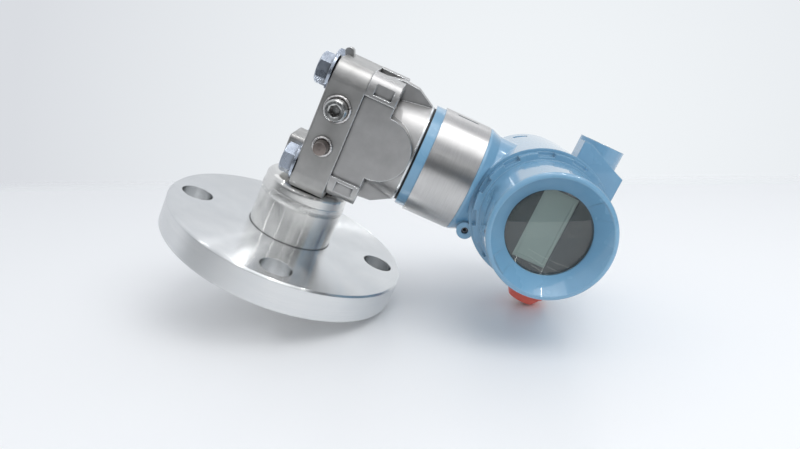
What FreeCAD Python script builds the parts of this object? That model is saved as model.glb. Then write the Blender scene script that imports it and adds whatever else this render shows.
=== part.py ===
import FreeCAD, Part
import math
import os
import Sketcher

# Flange-mounted level transmitter, in millimetres.
# The origin is the centre of the bolt circle on the flange's underside. Z is the flange's axis, pointing
# away from the process, and the gasket face stands a little below the origin.
# X is the transmitter's axis, from the process block to the housing. The display faces -Y.

DIMENSIONS = {
    # two-inch class 150 flange, turned a little against the transmitter's axis
    "flange_od": 152.4, "flange_thickness": 18.0, "flange_rim_chamfer": 1.0,
    "bolt_margin": 15.875, "bolt_hole": 19.05, "bolt_hole_count": 4, "flange_clocking": 7.0,
    # seal hub: a gasket disc below and a stout neck above
    "gasket_od": 92.1, "gasket_height": 1.6, "gasket_disc": 5.0, "hub_dia": 52.0,
    "hub_round": 4.0, "hub_clearance": 0.2, "fill_passage": 3.0,
    "seam_height": 44.5, "seam_width": 5.0, "seam_rise": 0.5,
    "diaphragm_dia": 60.0, "diaphragm_recess": 1.6, "diaphragm_gauge": 0.4, "corrugation_rise": 0.4,
    "diaphragm_gap": 0.1,
    # process block, measured from the transmitter's axis, which lies this high above the gasket face
    "axis_height": 96.5, "block_left": 7.6, "block_right": 13.2, "block_half_width": 34.0,
    "block_rise": 37.0, "block_drop": 42.0, "block_corner": 12.0, "block_edge": 1.2,
    "port_bore": 11.2, "port_depth": 12.0, "drilling": 3.0,
    "nub_over": 1.6, "nub_rise": 1.9, "nub_width": 4.5, "nub_lean": 2.0, "nub_gauge": 7.0, "nub_round": 2.7,
    "nub_root": 3.0, "nub_inset": 0.6,
    "boss_stand": 11.6, "boss_top": 16.5, "boss_corner": 3.0, "boss_edge": 1.2, "boss_room": 0.3,
    # shared fits
    "close_fit": 0.02,
    # corner bolts and washers
    "bolt_half_width": 24.5, "bolt_half_rise": 27.4, "bolt_dia": 11.1, "bolt_clearance": 0.3,
    "bolt_thread": 15.0, "bolt_fit": 0.05, "head_flats": 15.9, "head_height": 7.1,
    "head_chamfer": 1.3, "washer_od": 20.4, "washer_gauge": 1.6,
    # fill ports in the block's front face
    "port_spread": 11.2, "seat_depth": 8.0, "plug_dia": 12.5, "plug_stand": 9.0, "socket_flats": 6.0,
    "socket_depth": 6.0, "socket_flare": 0.8, "plug_chamfer": 0.9, "cap_dia": 8.6, "cap_tip_dia": 7.4,
    "cap_stand": 8.5, "cap_dome": 0.4,
    "bead_size": 1.4, "hub_bead": 4.5, "hub_bead_span": 24.0,
    # isolators between block and module
    "isolator_spread": 14.0, "isolator_dia": 21.0, "isolator_gauge": 0.4, "isolator_recess": 0.8,
    "chamber_depth": 4.0, "seal_inner": 23.2, "seal_outer": 26.4, "seal_gauge": 1.5,
    # cast sensor module
    "ear_radius": 9.6, "ear_end": 31.0, "ear_inner": 24.4, "face_half_width": 32.3,
    "saddle_half_width": 14.0, "saddle_depth": 4.0, "lobe_radius": 18.2, "lobe_centre": 32.0,
    "cone_root": 27.0, "cone_tip": 30.2, "module_end": 51.4, "rib_gauge": 11.0, "rib_root": 34.0,
    "rib_peak": 37.3, "rib_knee": 36.4, "rib_knee_at": 39.0, "rib_toe": 29.6,
    "ear_slot_from": 17.6, "ear_slot_to": 27.8, "ear_slot_low": 26.4, "ear_slot_high": 33.4,
    "ear_slot_floor": 32.6, "stem_dia": 44.0, "stem_headroom": 2.0, "module_bore": 34.0,
    "module_floor": 24.0, "capsule_dia": 30.0, "capsule_length": 20.0, "capsule_step": 6.0,
    # housing: neck along X, barrel along Y, turned a little on the module as it was left
    "housing_turn": -3.0,
    "neck_gap": 1.2, "ring_step": 0.5, "ring_end": 58.3, "band_end": 86.9, "band_seat_dia": 64.5,
    "band_gauge": 0.6, "collar_step": 0.45, "collar_length": 1.6, "neck_step": 1.55, "neck_start": 94.0,
    "stem_fit": 0.08, "stem_room": 75.0, "cable_hole": 12.0, "cable_offset": 14.0,
    "cover_axis": 130.2, "barrel_wall": 2.0, "barrel_front": 27.6, "barrel_rear": 30.0,
    "partition_front": 5.0, "partition_rear": 0.5, "compartment_step": 0.5, "mouth_depth": 11.0,
    "sweep_gap": 0.8, "conduit_along": 23.8, "conduit_back": 12.0, "conduit_dia": 27.8,
    "conduit_reach": 51.4, "conduit_bore": 20.0, "conduit_depth": 20.4, "conduit_throat": 15.0,
    "throat_end": 15.0, "shoulder_front": 2.0, "shoulder_out": 17.0, "shoulder_low": 37.5,
    "shoulder_knee": 12.0, "shoulder_knee_rise": 39.4, "shoulder_high": 48.8,
    "lug_along": 96.0, "lug_below": 25.0, "lug_dia": 9.8, "lug_front": 25.5, "lug_length": 16.0,
    "set_screw_dia": 4.0, "set_screw_length": 9.0, "set_screw_flats": 2.0, "set_screw_sink": 2.2,
    # slot in the nameplate band where its tab is tucked in
    "band_margin": 0.15, "band_slot_from": 65.5, "band_slot_to": 78.5, "band_slot_side": 6.0,
    "band_slot_width": 1.4,
    # thread of both covers, and the O-ring that lies around it in the barrel's mouth
    "thread_dia": 69.4, "thread_length": 10.0, "thread_clearance": 0.3, "cover_wall": 3.7,
    "oring_minor": 1.1, "oring_clearance": 0.15, "oring_room": 0.45, "oring_headroom": 0.2,
    # display cover, heights measured outward from the barrel's middle
    "rim_overlap": 0.5, "rim_end": 36.0, "seat_gap": 0.05, "wall_root_gauge": 3.3, "wall_tip_gauge": 2.4,
    "cover_front": 72.6, "cover_round": 2.2, "rim_land": 0.4, "window_dia": 45.8, "window_plane": 62.4,
    "lip_gauge": 1.5, "glass_dia": 52.0, "glass_gauge": 7.5, "glass_fit": 0.2, "retainer_gauge": 1.8,
    "retainer_width": 2.4, "notch_count": 12, "notch_width": 9.0, "notch_depth": 2.2,
    "pad_angle": 20.0, "pad_rise": 0.9, "cover_clocking": 52.0,
    # terminal cover
    "cap_overlap": 1.5, "cap_end": 53.0, "cap_round": 3.0, "cap_inside": 49.5, "cap_dish_dia": 56.0,
    "cap_dish_depth": 1.0, "cap_grip": 9.0,
    # display stack
    "bezel_gap": 1.5, "bezel_front": 49.6, "bezel_gauge": 4.0, "bezel_rim": 1.2, "bezel_step": 1.0,
    "lcd_long": 38.0, "lcd_short": 17.6, "lcd_gauge": 2.6, "lcd_fit": 0.2,
    "board_margin": 1.0, "board_gauge": 1.6, "main_board_gap": 1.5, "main_board_at": 18.0,
    "post_dia": 5.0, "post_inset": 4.0, "post_angle": 45.0,
    "meter_screw_head": 4.4, "meter_screw_rise": 1.2, "meter_screw_slot": 0.8,
    # terminal block
    "terminal_gap": 2.5, "terminal_rise": 12.0, "terminal_chord": 14.0, "terminal_spread": 14.0,
    "terminal_screw_dia": 9.0, "terminal_screw_rise": 3.2, "terminal_slot": 1.2, "terminal_well": 11.4,
    "terminal_well_depth": 6.0, "terminal_row": 6.0, "ground_offset": 22.0,
    # plug in the lower conduit
    "conduit_plug_fit": 0.1, "conduit_plug_taper": 0.6, "conduit_plug_length": 15.0, "plug_rim_dia": 25.5,
    "plug_rim_gauge": 1.6, "plug_head_dia": 17.0, "plug_head_rise": 7.0, "plug_hollow_dia": 12.5,
    "plug_hollow_depth": 14.0,
    # sensor cable
    "cable_width": 8.0, "cable_gauge": 1.4, "cable_bend": 11.0, "cable_end": 98.0,
}

CORRUGATIONS = 3
CORNER_SIGNS = ((-1, 1), (1, 1), (-1, -1), (1, -1))
ROOT_THREE = math.sqrt(3.0)


class Size:
    """A length that carries its value and the sheet expression behind it."""

    def __init__(self, value, text):
        self.value = float(value)
        self.text = text

    def __add__(self, other):
        other = as_size(other)
        return Size(self.value + other.value, f"({self.text} + {other.text})")

    def __radd__(self, other):
        return as_size(other) + self

    def __sub__(self, other):
        other = as_size(other)
        return Size(self.value - other.value, f"({self.text} - {other.text})")

    def __rsub__(self, other):
        return as_size(other) - self

    def __mul__(self, factor):
        factor = as_size(factor)
        return Size(self.value * factor.value, f"({self.text} * {factor.text})")

    def __rmul__(self, factor):
        return self * factor

    def __truediv__(self, divisor):
        divisor = as_size(divisor)
        return Size(self.value / divisor.value, f"({self.text} / {divisor.text})")

    def __neg__(self):
        return self * -1.0


def as_size(number):
    """Give a plain number the same form as a size from the sheet."""
    return number if isinstance(number, Size) else Size(number, f"({float(number)})")


def cosine(angle):
    """Cosine of an angle in degrees."""
    return Size(math.cos(math.radians(angle.value)), f"cos({angle.text})")


def sine(angle):
    """Sine of an angle in degrees."""
    return Size(math.sin(math.radians(angle.value)), f"sin({angle.text})")


class Dimensions:
    """The driving dimensions, kept in a sheet and read by name."""

    def __init__(self, document, values):
        self.sheet = document.addObject("Spreadsheet::Sheet", "dims")
        for row, (alias, number) in enumerate(values.items(), start=1):
            self.sheet.set(f"A{row}", alias)
            self.sheet.set(f"B{row}", str(number))
            self.sheet.setAlias(f"B{row}", alias)
        document.recompute()

    def __getattr__(self, alias):
        return Size(self.sheet.get(alias), f"dims.{alias}")


doc = FreeCAD.newDocument("level_transmitter")
dim = Dimensions(doc, DIMENSIONS)
sub_parts = []


# stations that the pieces are placed from, and the turns they take there
NO_TURN = "rotationx(0)"
FRONTWARD = "rotationx(90)"
REARWARD = "rotationx(-90)"
AXIS_RISE = dim.axis_height - dim.gasket_height
FLANGE_STATION = f"placement(vector(0; 0; -dims.gasket_height); {NO_TURN})"
BLOCK_STATION = f"placement(vector(0; 0; {AXIS_RISE.text}); {NO_TURN})"
HOUSING_STATION = f"placement(vector(0; 0; {AXIS_RISE.text}); rotationx(dims.housing_turn))"


def bind(feature, path, amount):
    """Drive one property of a feature from the sheet."""
    feature.setExpression(path, as_size(amount).text)


def place(item, station=FLANGE_STATION, along=0.0, across=0.0, rise=0.0, turn=NO_TURN):
    """Put a piece at a point of a station, with a turn written as a sheet expression."""
    spot = "; ".join(as_size(amount).text for amount in (along, across, rise))
    item.setExpression("Placement", f"{station} * placement(vector({spot}); {turn})")


def new_body(label, station=FLANGE_STATION, **where):
    """Start a body at a point of a station."""
    body = doc.addObject("PartDesign::Body", label)
    body.Label = label
    place(body, station, **where)
    return body


def keep(piece, label=None):
    """Count a finished piece among the sub-parts that are written out."""
    piece.Label = label or piece.Label
    sub_parts.append(piece)
    return piece


def origin_plane(body, role):
    """Find one of a body's own origin planes or axes."""
    return next(item for item in body.Origin.OriginFeatures if item.Role == role)


def new_sketch(body, role, name, offset=0.0):
    """Attach a sketch to an origin plane, moved along the plane's normal."""
    sketch = body.newObject("Sketcher::SketchObject", name)
    sketch.AttachmentSupport = [(origin_plane(body, role), "")]
    sketch.MapMode = "FlatFace"
    offset = as_size(offset)
    sketch.AttachmentOffset = FreeCAD.Placement(FreeCAD.Vector(0, 0, offset.value), FreeCAD.Rotation())
    bind(sketch, "AttachmentOffset.Base.z", offset)
    return sketch


def pin(sketch, geometry, point, across, up):
    """Hold one point of a sketch at two sizes from the sketch's origin."""
    for kind, amount in (("DistanceX", across), ("DistanceY", up)):
        amount = as_size(amount)
        index = sketch.addConstraint(Sketcher.Constraint(kind, -1, 1, geometry, point, amount.value))
        sketch.setExpression(f"Constraints[{index}]", amount.text)


def hold_radius(sketch, geometry, radius):
    """Hold the radius of a circle or an arc."""
    index = sketch.addConstraint(Sketcher.Constraint("Radius", geometry, as_size(radius).value))
    sketch.setExpression(f"Constraints[{index}]", as_size(radius).text)


def vector(point):
    """Turn a pair of sizes into a point of the sketch."""
    return FreeCAD.Vector(as_size(point[0]).value, as_size(point[1]).value, 0)


def circle(sketch, across, up, radius):
    """Draw a circle with its centre and radius driven by sizes."""
    shape = Part.Circle(vector((across, up)), FreeCAD.Vector(0, 0, 1), as_size(radius).value)
    index = sketch.addGeometry(shape, False)
    pin(sketch, index, 3, across, up)
    hold_radius(sketch, index, radius)


def bulged(start, end, radius, side):
    """An arc from start to end with the given radius, bulging to the left (+1) or right (-1) of the way."""
    chord = end - start
    half = chord.Length / 2
    height = math.sqrt(max(radius ** 2 - half ** 2, 0.0))
    left = FreeCAD.Vector(-chord.y, chord.x, 0).normalize()
    middle = (start + end) / 2 + left * side * (radius - height)
    return Part.Arc(start, middle, end)


def outline(sketch, corners, arcs=None, closed=True):
    """Join corners into a loop or a path. An arc replaces the side that leaves a listed corner.

    arcs maps a corner's index to (radius, side), where side tells which way the arc bulges.
    """
    arcs = arcs or {}
    points = [vector(corner) for corner in corners]
    sides = []
    for index, start in enumerate(points if closed else points[:-1]):
        end = points[(index + 1) % len(points)]
        if index in arcs:
            radius, side = arcs[index]
            sides.append(bulged(start, end, as_size(radius).value, side))
        else:
            sides.append(Part.LineSegment(start, end))
    first = sketch.GeometryCount
    ends = []
    for side, start in zip(sides, points):
        index = sketch.addGeometry(side, False)
        begins_here = (sketch.getPoint(index, 1) - start).Length < 1e-6
        ends.append((1, 2) if begins_here else (2, 1))
    for index in range(len(sides)):
        following = (index + 1) % len(corners)
        pin(sketch, first + index, ends[index][0], *corners[index])
        if following < len(sides):
            sketch.addConstraint(Sketcher.Constraint("Coincident", first + index, ends[index][1],
                                                     first + following, ends[following][0]))
        else:
            pin(sketch, first + index, ends[index][1], *corners[following])
    for index, (radius, _) in arcs.items():
        hold_radius(sketch, first + index, radius)


def box_outline(sketch, left, right, low, high):
    """Draw a rectangle."""
    outline(sketch, [(left, low), (right, low), (right, high), (left, high)])


def round_box_outline(sketch, left, right, low, high, radius):
    """Draw a rectangle with four round corners."""
    corners = [(left + radius, low), (right - radius, low), (right, low + radius), (right, high - radius),
               (right - radius, high), (left + radius, high), (left, high - radius), (left, low + radius)]
    outline(sketch, corners, {side: (radius, -1) for side in (1, 3, 5, 7)})


def hexagon(sketch, across, up, flats):
    """Draw a hexagon with two corners above and below its centre."""
    wide = flats / 2
    tall = flats / ROOT_THREE
    short = tall / 2
    outline(sketch, [(across + wide, up - short), (across + wide, up + short), (across, up + tall),
                     (across - wide, up + short), (across - wide, up - short), (across, up - tall)])


def add_feature(body, kind, sketch, name):
    """Make a sketch-based feature."""
    feature = body.newObject(f"PartDesign::{kind}", name)
    feature.Profile = sketch
    sketch.Visibility = False
    return feature


def pad(body, sketch, length, name, back=False):
    """Raise a sketch along its normal, or against it."""
    feature = add_feature(body, "Pad", sketch, name)
    bind(feature, "Length", length)
    feature.Reversed = back
    doc.recompute()
    return feature


def cut(body, sketch, depth, name, ahead=False):
    """Sink a sketch against its normal, or along it, and check that material went."""
    before = body.Shape.Volume
    feature = add_feature(body, "Pocket", sketch, name)
    bind(feature, "Length", depth)
    feature.Reversed = ahead
    doc.recompute()
    if body.Shape.Volume > before - 1e-6:
        raise RuntimeError(f"{body.Label}: {name} removes nothing")
    return feature


def revolve(body, sketch, axis, name, angle=360.0, centred=False):
    """Turn a sketch about one of its own axes."""
    feature = add_feature(body, "Revolution", sketch, name)
    feature.ReferenceAxis = (sketch, [axis])
    bind(feature, "Angle", angle)
    feature.Midplane = centred
    doc.recompute()
    return feature


def groove(body, sketch, axis, name):
    """Cut a full turn of a sketch about one of its own axes."""
    before = body.Shape.Volume
    feature = add_feature(body, "Groove", sketch, name)
    feature.ReferenceAxis = (sketch, [axis])
    feature.Angle = 360.0
    doc.recompute()
    if body.Shape.Volume > before - 1e-6:
        raise RuntimeError(f"{body.Label}: {name} removes nothing")
    return feature


def polar(body, originals, count, name):
    """Repeat features evenly about the body's Z axis."""
    pattern = body.newObject("PartDesign::PolarPattern", name)
    pattern.Originals = originals
    pattern.Axis = (origin_plane(body, "Z_Axis"), [""])
    pattern.Angle = 360.0
    bind(pattern, "Occurrences", count)
    body.Tip = pattern
    doc.recompute()
    return pattern


def mirrored(body, originals, role, name):
    """Repeat features on the other side of an origin plane."""
    mirror = body.newObject("PartDesign::Mirrored", name)
    mirror.Originals = originals
    mirror.MirrorPlane = (origin_plane(body, role), [""])
    body.Tip = mirror
    doc.recompute()
    return mirror


def soften(body, edges, amount, name, kind="Fillet"):
    """Round or bevel the edges that a test picks from the body's present shape."""
    names = [f"Edge{index}" for index, edge in enumerate(body.Shape.Edges, start=1) if edges(edge)]
    base = body.Tip
    feature = body.newObject(f"PartDesign::{kind}", name)
    feature.Base = (base, names)
    bind(feature, "Radius" if kind == "Fillet" else "Size", amount)
    body.Tip = feature
    doc.recompute()
    return feature


def annulus(body, role, name, inner, outer, start, length):
    """Raise a flat ring from an origin plane."""
    sketch = new_sketch(body, role, f"{name}_sketch", start)
    circle(sketch, 0, 0, outer)
    circle(sketch, 0, 0, inner)
    return pad(body, sketch, length, name)


def mirror_copy(source, name, normal, height=0.0):
    """Copy a whole piece to the other side of a plane."""
    copy = doc.addObject("Part::Mirroring", name)
    copy.Source = source
    copy.Normal = FreeCAD.Vector(*normal)
    bind(copy, "Base.z", height)
    return copy


def group(label, pieces):
    """Gather equal pieces under one name."""
    bundle = doc.addObject("Part::Compound", label)
    bundle.Links = pieces
    doc.recompute()
    return keep(bundle, label)


def four_corners(master, label):
    """Repeat a corner piece at the four bolt places."""
    beyond = mirror_copy(master, f"{label}_back", (0, 1, 0))
    low = mirror_copy(master, f"{label}_low", (0, 0, 1), AXIS_RISE)
    low_beyond = mirror_copy(beyond, f"{label}_low_back", (0, 0, 1), AXIS_RISE)
    return group(label, [master, beyond, low, low_beyond])


FLANGE_TOP = dim.gasket_height + dim.flange_thickness
HUB_TOP = dim.axis_height - dim.block_drop
RING_START = dim.module_end + dim.neck_gap
PORT_ALONG = (dim.block_right - dim.block_left) / 2
BLOCK_GAUGE = dim.block_left + dim.block_right
STEM_END = dim.stem_room - dim.stem_headroom
BAND_SEAT = dim.band_seat_dia / 2
NECK = BAND_SEAT - dim.neck_step
CONDUIT = dim.cover_axis + dim.conduit_along
GLASS_FRONT = dim.window_plane - dim.lip_gauge
GLASS_BACK = GLASS_FRONT - dim.glass_gauge
RETAINER_BACK = GLASS_BACK - dim.retainer_gauge
METER_BACK = dim.bezel_front - dim.bezel_gauge - dim.board_gauge

# radii about the barrel's axis, all from the covers' thread
THREAD = dim.thread_dia / 2
MOUTH = THREAD + dim.thread_clearance
COVER_BORE = THREAD - dim.cover_wall
COMPARTMENT = COVER_BORE + dim.compartment_step
ORING_MAJOR = THREAD + dim.oring_clearance + dim.oring_minor
ORING_SEAT = ORING_MAJOR + dim.oring_minor + dim.oring_room
ORING_SEAT_DEPTH = dim.oring_minor * 2 + dim.oring_headroom
BARREL = ORING_SEAT + dim.barrel_wall
COVER_RIM = ORING_SEAT + dim.rim_overlap
CAP_RIM = ORING_SEAT + dim.cap_overlap
BEZEL = COVER_BORE - dim.bezel_gap
MAIN_BOARD = COMPARTMENT - dim.main_board_gap
TERMINAL = COMPARTMENT - dim.terminal_gap
POST_ACROSS = (MAIN_BOARD - dim.post_inset) * cosine(dim.post_angle)
POST_RISE = (MAIN_BOARD - dim.post_inset) * sine(dim.post_angle)


def build_process_flange():
    """Ring flange: a counterbore below for the gasket disc and a ring of bolt holes."""
    body = new_body("process_flange", turn="rotationz(dims.flange_clocking)")
    bore = dim.hub_dia / 2 + dim.hub_clearance
    counterbore = dim.gasket_od / 2 + dim.hub_clearance
    rim = dim.flange_od / 2
    bevel = dim.flange_rim_chamfer
    section = new_sketch(body, "XZ_Plane", "flange_section")
    outline(section, [(bore, dim.gasket_disc), (counterbore, dim.gasket_disc),
                      (counterbore, dim.gasket_height), (rim - bevel, dim.gasket_height),
                      (rim, dim.gasket_height + bevel), (rim, FLANGE_TOP - bevel),
                      (rim - bevel, FLANGE_TOP), (bore, FLANGE_TOP)])
    revolve(body, section, "V_Axis", "flange_ring")
    hole = new_sketch(body, "XY_Plane", "bolt_hole_sketch", FLANGE_TOP)
    circle(hole, rim - dim.bolt_margin, 0, dim.bolt_hole / 2)
    drilled = cut(body, hole, dim.flange_thickness + 1, "bolt_hole")
    polar(body, [drilled], dim.bolt_hole_count, "bolt_holes")
    return keep(body)


def build_seal_hub():
    """Hub with the gasket face below, a seat for the diaphragm and a drilled oil passage."""
    body = new_body("seal_hub")
    passage = dim.fill_passage / 2
    seat = dim.diaphragm_dia / 2
    neck = dim.hub_dia / 2
    gasket = dim.gasket_od / 2
    section = new_sketch(body, "XZ_Plane", "hub_section")
    seam_foot = dim.seam_height - dim.seam_width / 2
    bulge = (dim.seam_width * dim.seam_width / 4 + dim.seam_rise * dim.seam_rise) / (dim.seam_rise * 2)
    outline(section, [(passage, dim.diaphragm_recess), (seat, dim.diaphragm_recess), (seat, 0), (gasket, 0),
                      (gasket, dim.gasket_disc), (neck, dim.gasket_disc), (neck, seam_foot),
                      (neck, seam_foot + dim.seam_width), (neck, HUB_TOP - dim.hub_round),
                      (neck - dim.hub_round, HUB_TOP), (passage, HUB_TOP)],
            {6: (bulge, -1), 8: (dim.hub_round, -1)})
    revolve(body, section, "V_Axis", "hub_turned")
    return keep(body)


def build_isolating_diaphragm():
    """Thin metal disc with round corrugations, held in the hub's recess by its rim."""
    body = new_body("isolating_diaphragm")
    rim = dim.diaphragm_dia / 2 - dim.close_fit
    steps = CORRUGATIONS * 2 + 1
    pitch = rim / steps
    gauge = dim.diaphragm_gauge
    rise = dim.corrugation_rise
    floor = dim.diaphragm_recess - dim.diaphragm_gap - gauge - rise
    bend = (pitch * pitch / 4 + rise * rise) / (rise * 2)
    below = [(pitch * step, floor) for step in range(steps + 1)]
    above = [(pitch * step, floor + gauge) for step in reversed(range(steps + 1))]
    waves = {}
    for start in range(1, steps, 2):
        waves[start] = (bend, 1)
        waves[len(below) + start] = (bend, -1)
    sketch = new_sketch(body, "XZ_Plane", "diaphragm_section")
    outline(sketch, below + above, waves)
    revolve(body, sketch, "V_Axis", "diaphragm_disc")
    return keep(body)


def build_process_block():
    """Rounded block with a boss, a reference port and a leaning nub on its left, and oil passages."""
    body = new_body("process_block", BLOCK_STATION)
    profile = new_sketch(body, "YZ_Plane", "block_profile", -dim.block_left)
    round_box_outline(profile, -dim.block_half_width, dim.block_half_width, -dim.block_drop, dim.block_rise,
                      dim.block_corner)
    pad(body, profile, BLOCK_GAUGE, "block_casting")
    left_face = -dim.block_left.value
    soften(body, lambda edge: abs(edge.BoundBox.XMin - left_face) < 1e-4
           and abs(edge.BoundBox.XMax - left_face) < 1e-4, dim.block_edge, "left_edges")
    boss = new_sketch(body, "YZ_Plane", "boss_profile", -dim.block_left)
    boss_side = dim.bolt_half_width - dim.washer_od / 2 - dim.boss_room
    boss_foot = dim.hub_bead + dim.boss_room - dim.block_drop
    round_box_outline(boss, -boss_side, boss_side, boss_foot, -dim.boss_top, dim.boss_corner)
    pad(body, boss, dim.boss_stand, "cast_boss", back=True)
    boss_end = -(dim.block_left + dim.boss_stand).value
    soften(body, lambda edge: abs(edge.BoundBox.XMin - boss_end) < 1e-4
           and abs(edge.BoundBox.XMax - boss_end) < 1e-4, dim.boss_edge, "boss_edges")
    nub = new_sketch(body, "XZ_Plane", "nub_profile", dim.nub_gauge / 2)
    tip = dim.nub_width - dim.block_left - dim.nub_over
    outline(nub, [(dim.nub_inset - dim.block_left, dim.block_rise - dim.nub_root),
                  (-dim.block_left - dim.nub_over, dim.block_rise + dim.nub_rise),
                  (tip, dim.block_rise + dim.nub_rise + dim.nub_lean),
                  (tip + dim.nub_lean, dim.block_rise - dim.nub_inset)], {1: (dim.nub_round, 1)})
    pad(body, nub, dim.nub_gauge, "cast_nub", back=True)
    holes = new_sketch(body, "YZ_Plane", "bolt_hole_sketch", dim.block_right)
    for across, up in CORNER_SIGNS:
        circle(holes, dim.bolt_half_width * across, dim.bolt_half_rise * up,
               dim.bolt_dia / 2 + dim.bolt_clearance)
    cut(body, holes, BLOCK_GAUGE, "bolt_holes")
    chambers = new_sketch(body, "YZ_Plane", "chamber_sketch", dim.block_right)
    grooves = new_sketch(body, "YZ_Plane", "seal_groove_sketch", dim.block_right)
    for sign in (-1, 1):
        circle(chambers, 0, dim.isolator_spread * sign, dim.isolator_dia / 2)
        circle(grooves, 0, dim.isolator_spread * sign, dim.seal_outer / 2)
        circle(grooves, 0, dim.isolator_spread * sign, dim.seal_inner / 2)
    cut(body, chambers, dim.chamber_depth, "isolator_chambers")
    cut(body, grooves, dim.seal_gauge, "seal_grooves")
    seats = new_sketch(body, "XZ_Plane", "fill_port_sketch", dim.block_half_width)
    circle(seats, PORT_ALONG, dim.port_spread, dim.plug_dia / 2)
    circle(seats, PORT_ALONG, -dim.port_spread, dim.cap_dia / 2)
    cut(body, seats, dim.seat_depth, "fill_ports")
    port = new_sketch(body, "YZ_Plane", "reference_port_sketch", -dim.block_left)
    circle(port, 0, dim.isolator_spread, dim.port_bore / 2)
    cut(body, port, dim.port_depth, "reference_port", ahead=True)
    crossing = new_sketch(body, "YZ_Plane", "crossing_sketch", dim.block_right)
    circle(crossing, 0, dim.isolator_spread, dim.drilling / 2)
    circle(crossing, 0, -dim.isolator_spread, dim.drilling / 2)
    cut(body, crossing, dim.block_right, "cross_drillings")
    process_way = new_sketch(body, "XY_Plane", "process_drilling_sketch", -dim.block_drop)
    circle(process_way, 0, 0, dim.drilling / 2)
    cut(body, process_way, dim.block_drop - dim.isolator_spread, "process_drilling", ahead=True)
    return keep(body)


def build_block_bolts():
    """Hex bolts with a bevelled head, one at each corner of the block."""
    body = new_body("block_bolt", BLOCK_STATION, along=-dim.block_left - dim.washer_gauge,
                    across=-dim.bolt_half_width, rise=dim.bolt_half_rise)
    shank = new_sketch(body, "YZ_Plane", "shank_sketch")
    circle(shank, 0, 0, dim.bolt_dia / 2)
    pad(body, shank, dim.washer_gauge + BLOCK_GAUGE + dim.bolt_thread, "shank")
    head = new_sketch(body, "YZ_Plane", "head_sketch", -dim.head_height)
    hexagon(head, 0, 0, dim.head_flats)
    pad(body, head, dim.head_height, "hex_head")
    corner = dim.head_flats / ROOT_THREE
    bevel = new_sketch(body, "XZ_Plane", "head_bevel_sketch")
    outline(bevel, [(-dim.head_height, dim.head_flats / 2 - 0.3), (-dim.head_height, corner + 0.5),
                    (-dim.head_height + dim.head_chamfer, corner + 0.5)])
    groove(body, bevel, "H_Axis", "head_bevel")
    return four_corners(body, "block_bolts")


def build_bolt_washers():
    """Flat washers under the four bolt heads."""
    body = new_body("bolt_washer", BLOCK_STATION, along=-dim.block_left - dim.washer_gauge,
                    across=-dim.bolt_half_width, rise=dim.bolt_half_rise)
    annulus(body, "YZ_Plane", "washer", dim.bolt_dia / 2 + dim.bolt_clearance, dim.washer_od / 2, 0,
            dim.washer_gauge)
    return four_corners(body, "bolt_washers")


def port_body(label, rise):
    """Start a body on the block's front face, its own Z pointing to the front."""
    return new_body(label, BLOCK_STATION, along=PORT_ALONG, across=-dim.block_half_width, rise=rise,
                    turn=FRONTWARD)


def build_fill_port_plug():
    """Round plug with a flared hex socket, standing proud of the block's front face."""
    body = port_body("fill_port_plug", dim.port_spread)
    radius = dim.plug_dia / 2 - dim.close_fit
    mouth = dim.socket_flats / 2 + dim.socket_flare
    bevel = dim.plug_chamfer
    section = new_sketch(body, "XZ_Plane", "plug_section")
    outline(section, [(0, -dim.seat_depth), (radius, -dim.seat_depth), (radius, dim.plug_stand - bevel),
                      (radius - bevel, dim.plug_stand), (mouth, dim.plug_stand),
                      (0, dim.plug_stand - mouth / 2)])
    revolve(body, section, "V_Axis", "plug_turned")
    socket = new_sketch(body, "XY_Plane", "socket_sketch", dim.plug_stand)
    hexagon(socket, 0, 0, dim.socket_flats)
    cut(body, socket, dim.socket_depth, "hex_socket")
    return keep(body)


def build_fill_port_cap():
    """Tapered round pin with a slightly domed face that closes the second fill port."""
    body = port_body("fill_port_cap", -dim.port_spread)
    radius = dim.cap_dia / 2 - dim.close_fit
    tip = dim.cap_tip_dia / 2
    sphere = (tip * tip + dim.cap_dome * dim.cap_dome) / (dim.cap_dome * 2)
    section = new_sketch(body, "XZ_Plane", "cap_section")
    outline(section, [(0, -dim.seat_depth), (radius, -dim.seat_depth), (radius, 0),
                      (tip, dim.cap_stand - dim.cap_dome), (0, dim.cap_stand)], {3: (sphere, -1)})
    revolve(body, section, "V_Axis", "cap_turned")
    return keep(body)


def build_port_weld_beads():
    """Weld beads on the block's face, around the two sealed fill ports."""
    beads = []
    size = dim.bead_size
    for name, dia, sign in (("plug_bead", dim.plug_dia, 1), ("cap_bead", dim.cap_dia, -1)):
        body = port_body(name, dim.port_spread * sign)
        inner = dia / 2
        section = new_sketch(body, "XZ_Plane", f"{name}_section")
        outline(section, [(inner, 0), (inner + size * 1.6, 0), (inner + size * 0.8, size),
                          (inner, size * 1.2)], {1: (size * 1.3, -1), 2: (size * 1.3, -1)})
        revolve(body, section, "V_Axis", f"{name}_run")
        beads.append(body)
    return group("port_weld_beads", beads)


def build_hub_weld():
    """Two fillet welds that join the block's lower end to the top of the hub."""
    beads = []
    for name, face, sign in (("left_bead", -dim.block_left, -1), ("right_bead", dim.block_right, 1)):
        body = new_body(name, BLOCK_STATION, rise=-dim.block_drop)
        section = new_sketch(body, "XZ_Plane", f"{name}_section", dim.hub_bead_span / 2)
        leg = dim.hub_bead * sign
        outline(section, [(face, 0), (face + leg, 0), (face, dim.hub_bead)],
                {1: (dim.hub_bead * 1.4, sign * -1)})
        pad(body, section, dim.hub_bead_span, f"{name}_run", back=True)
        beads.append(body)
    return group("hub_weld", beads)


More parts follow.
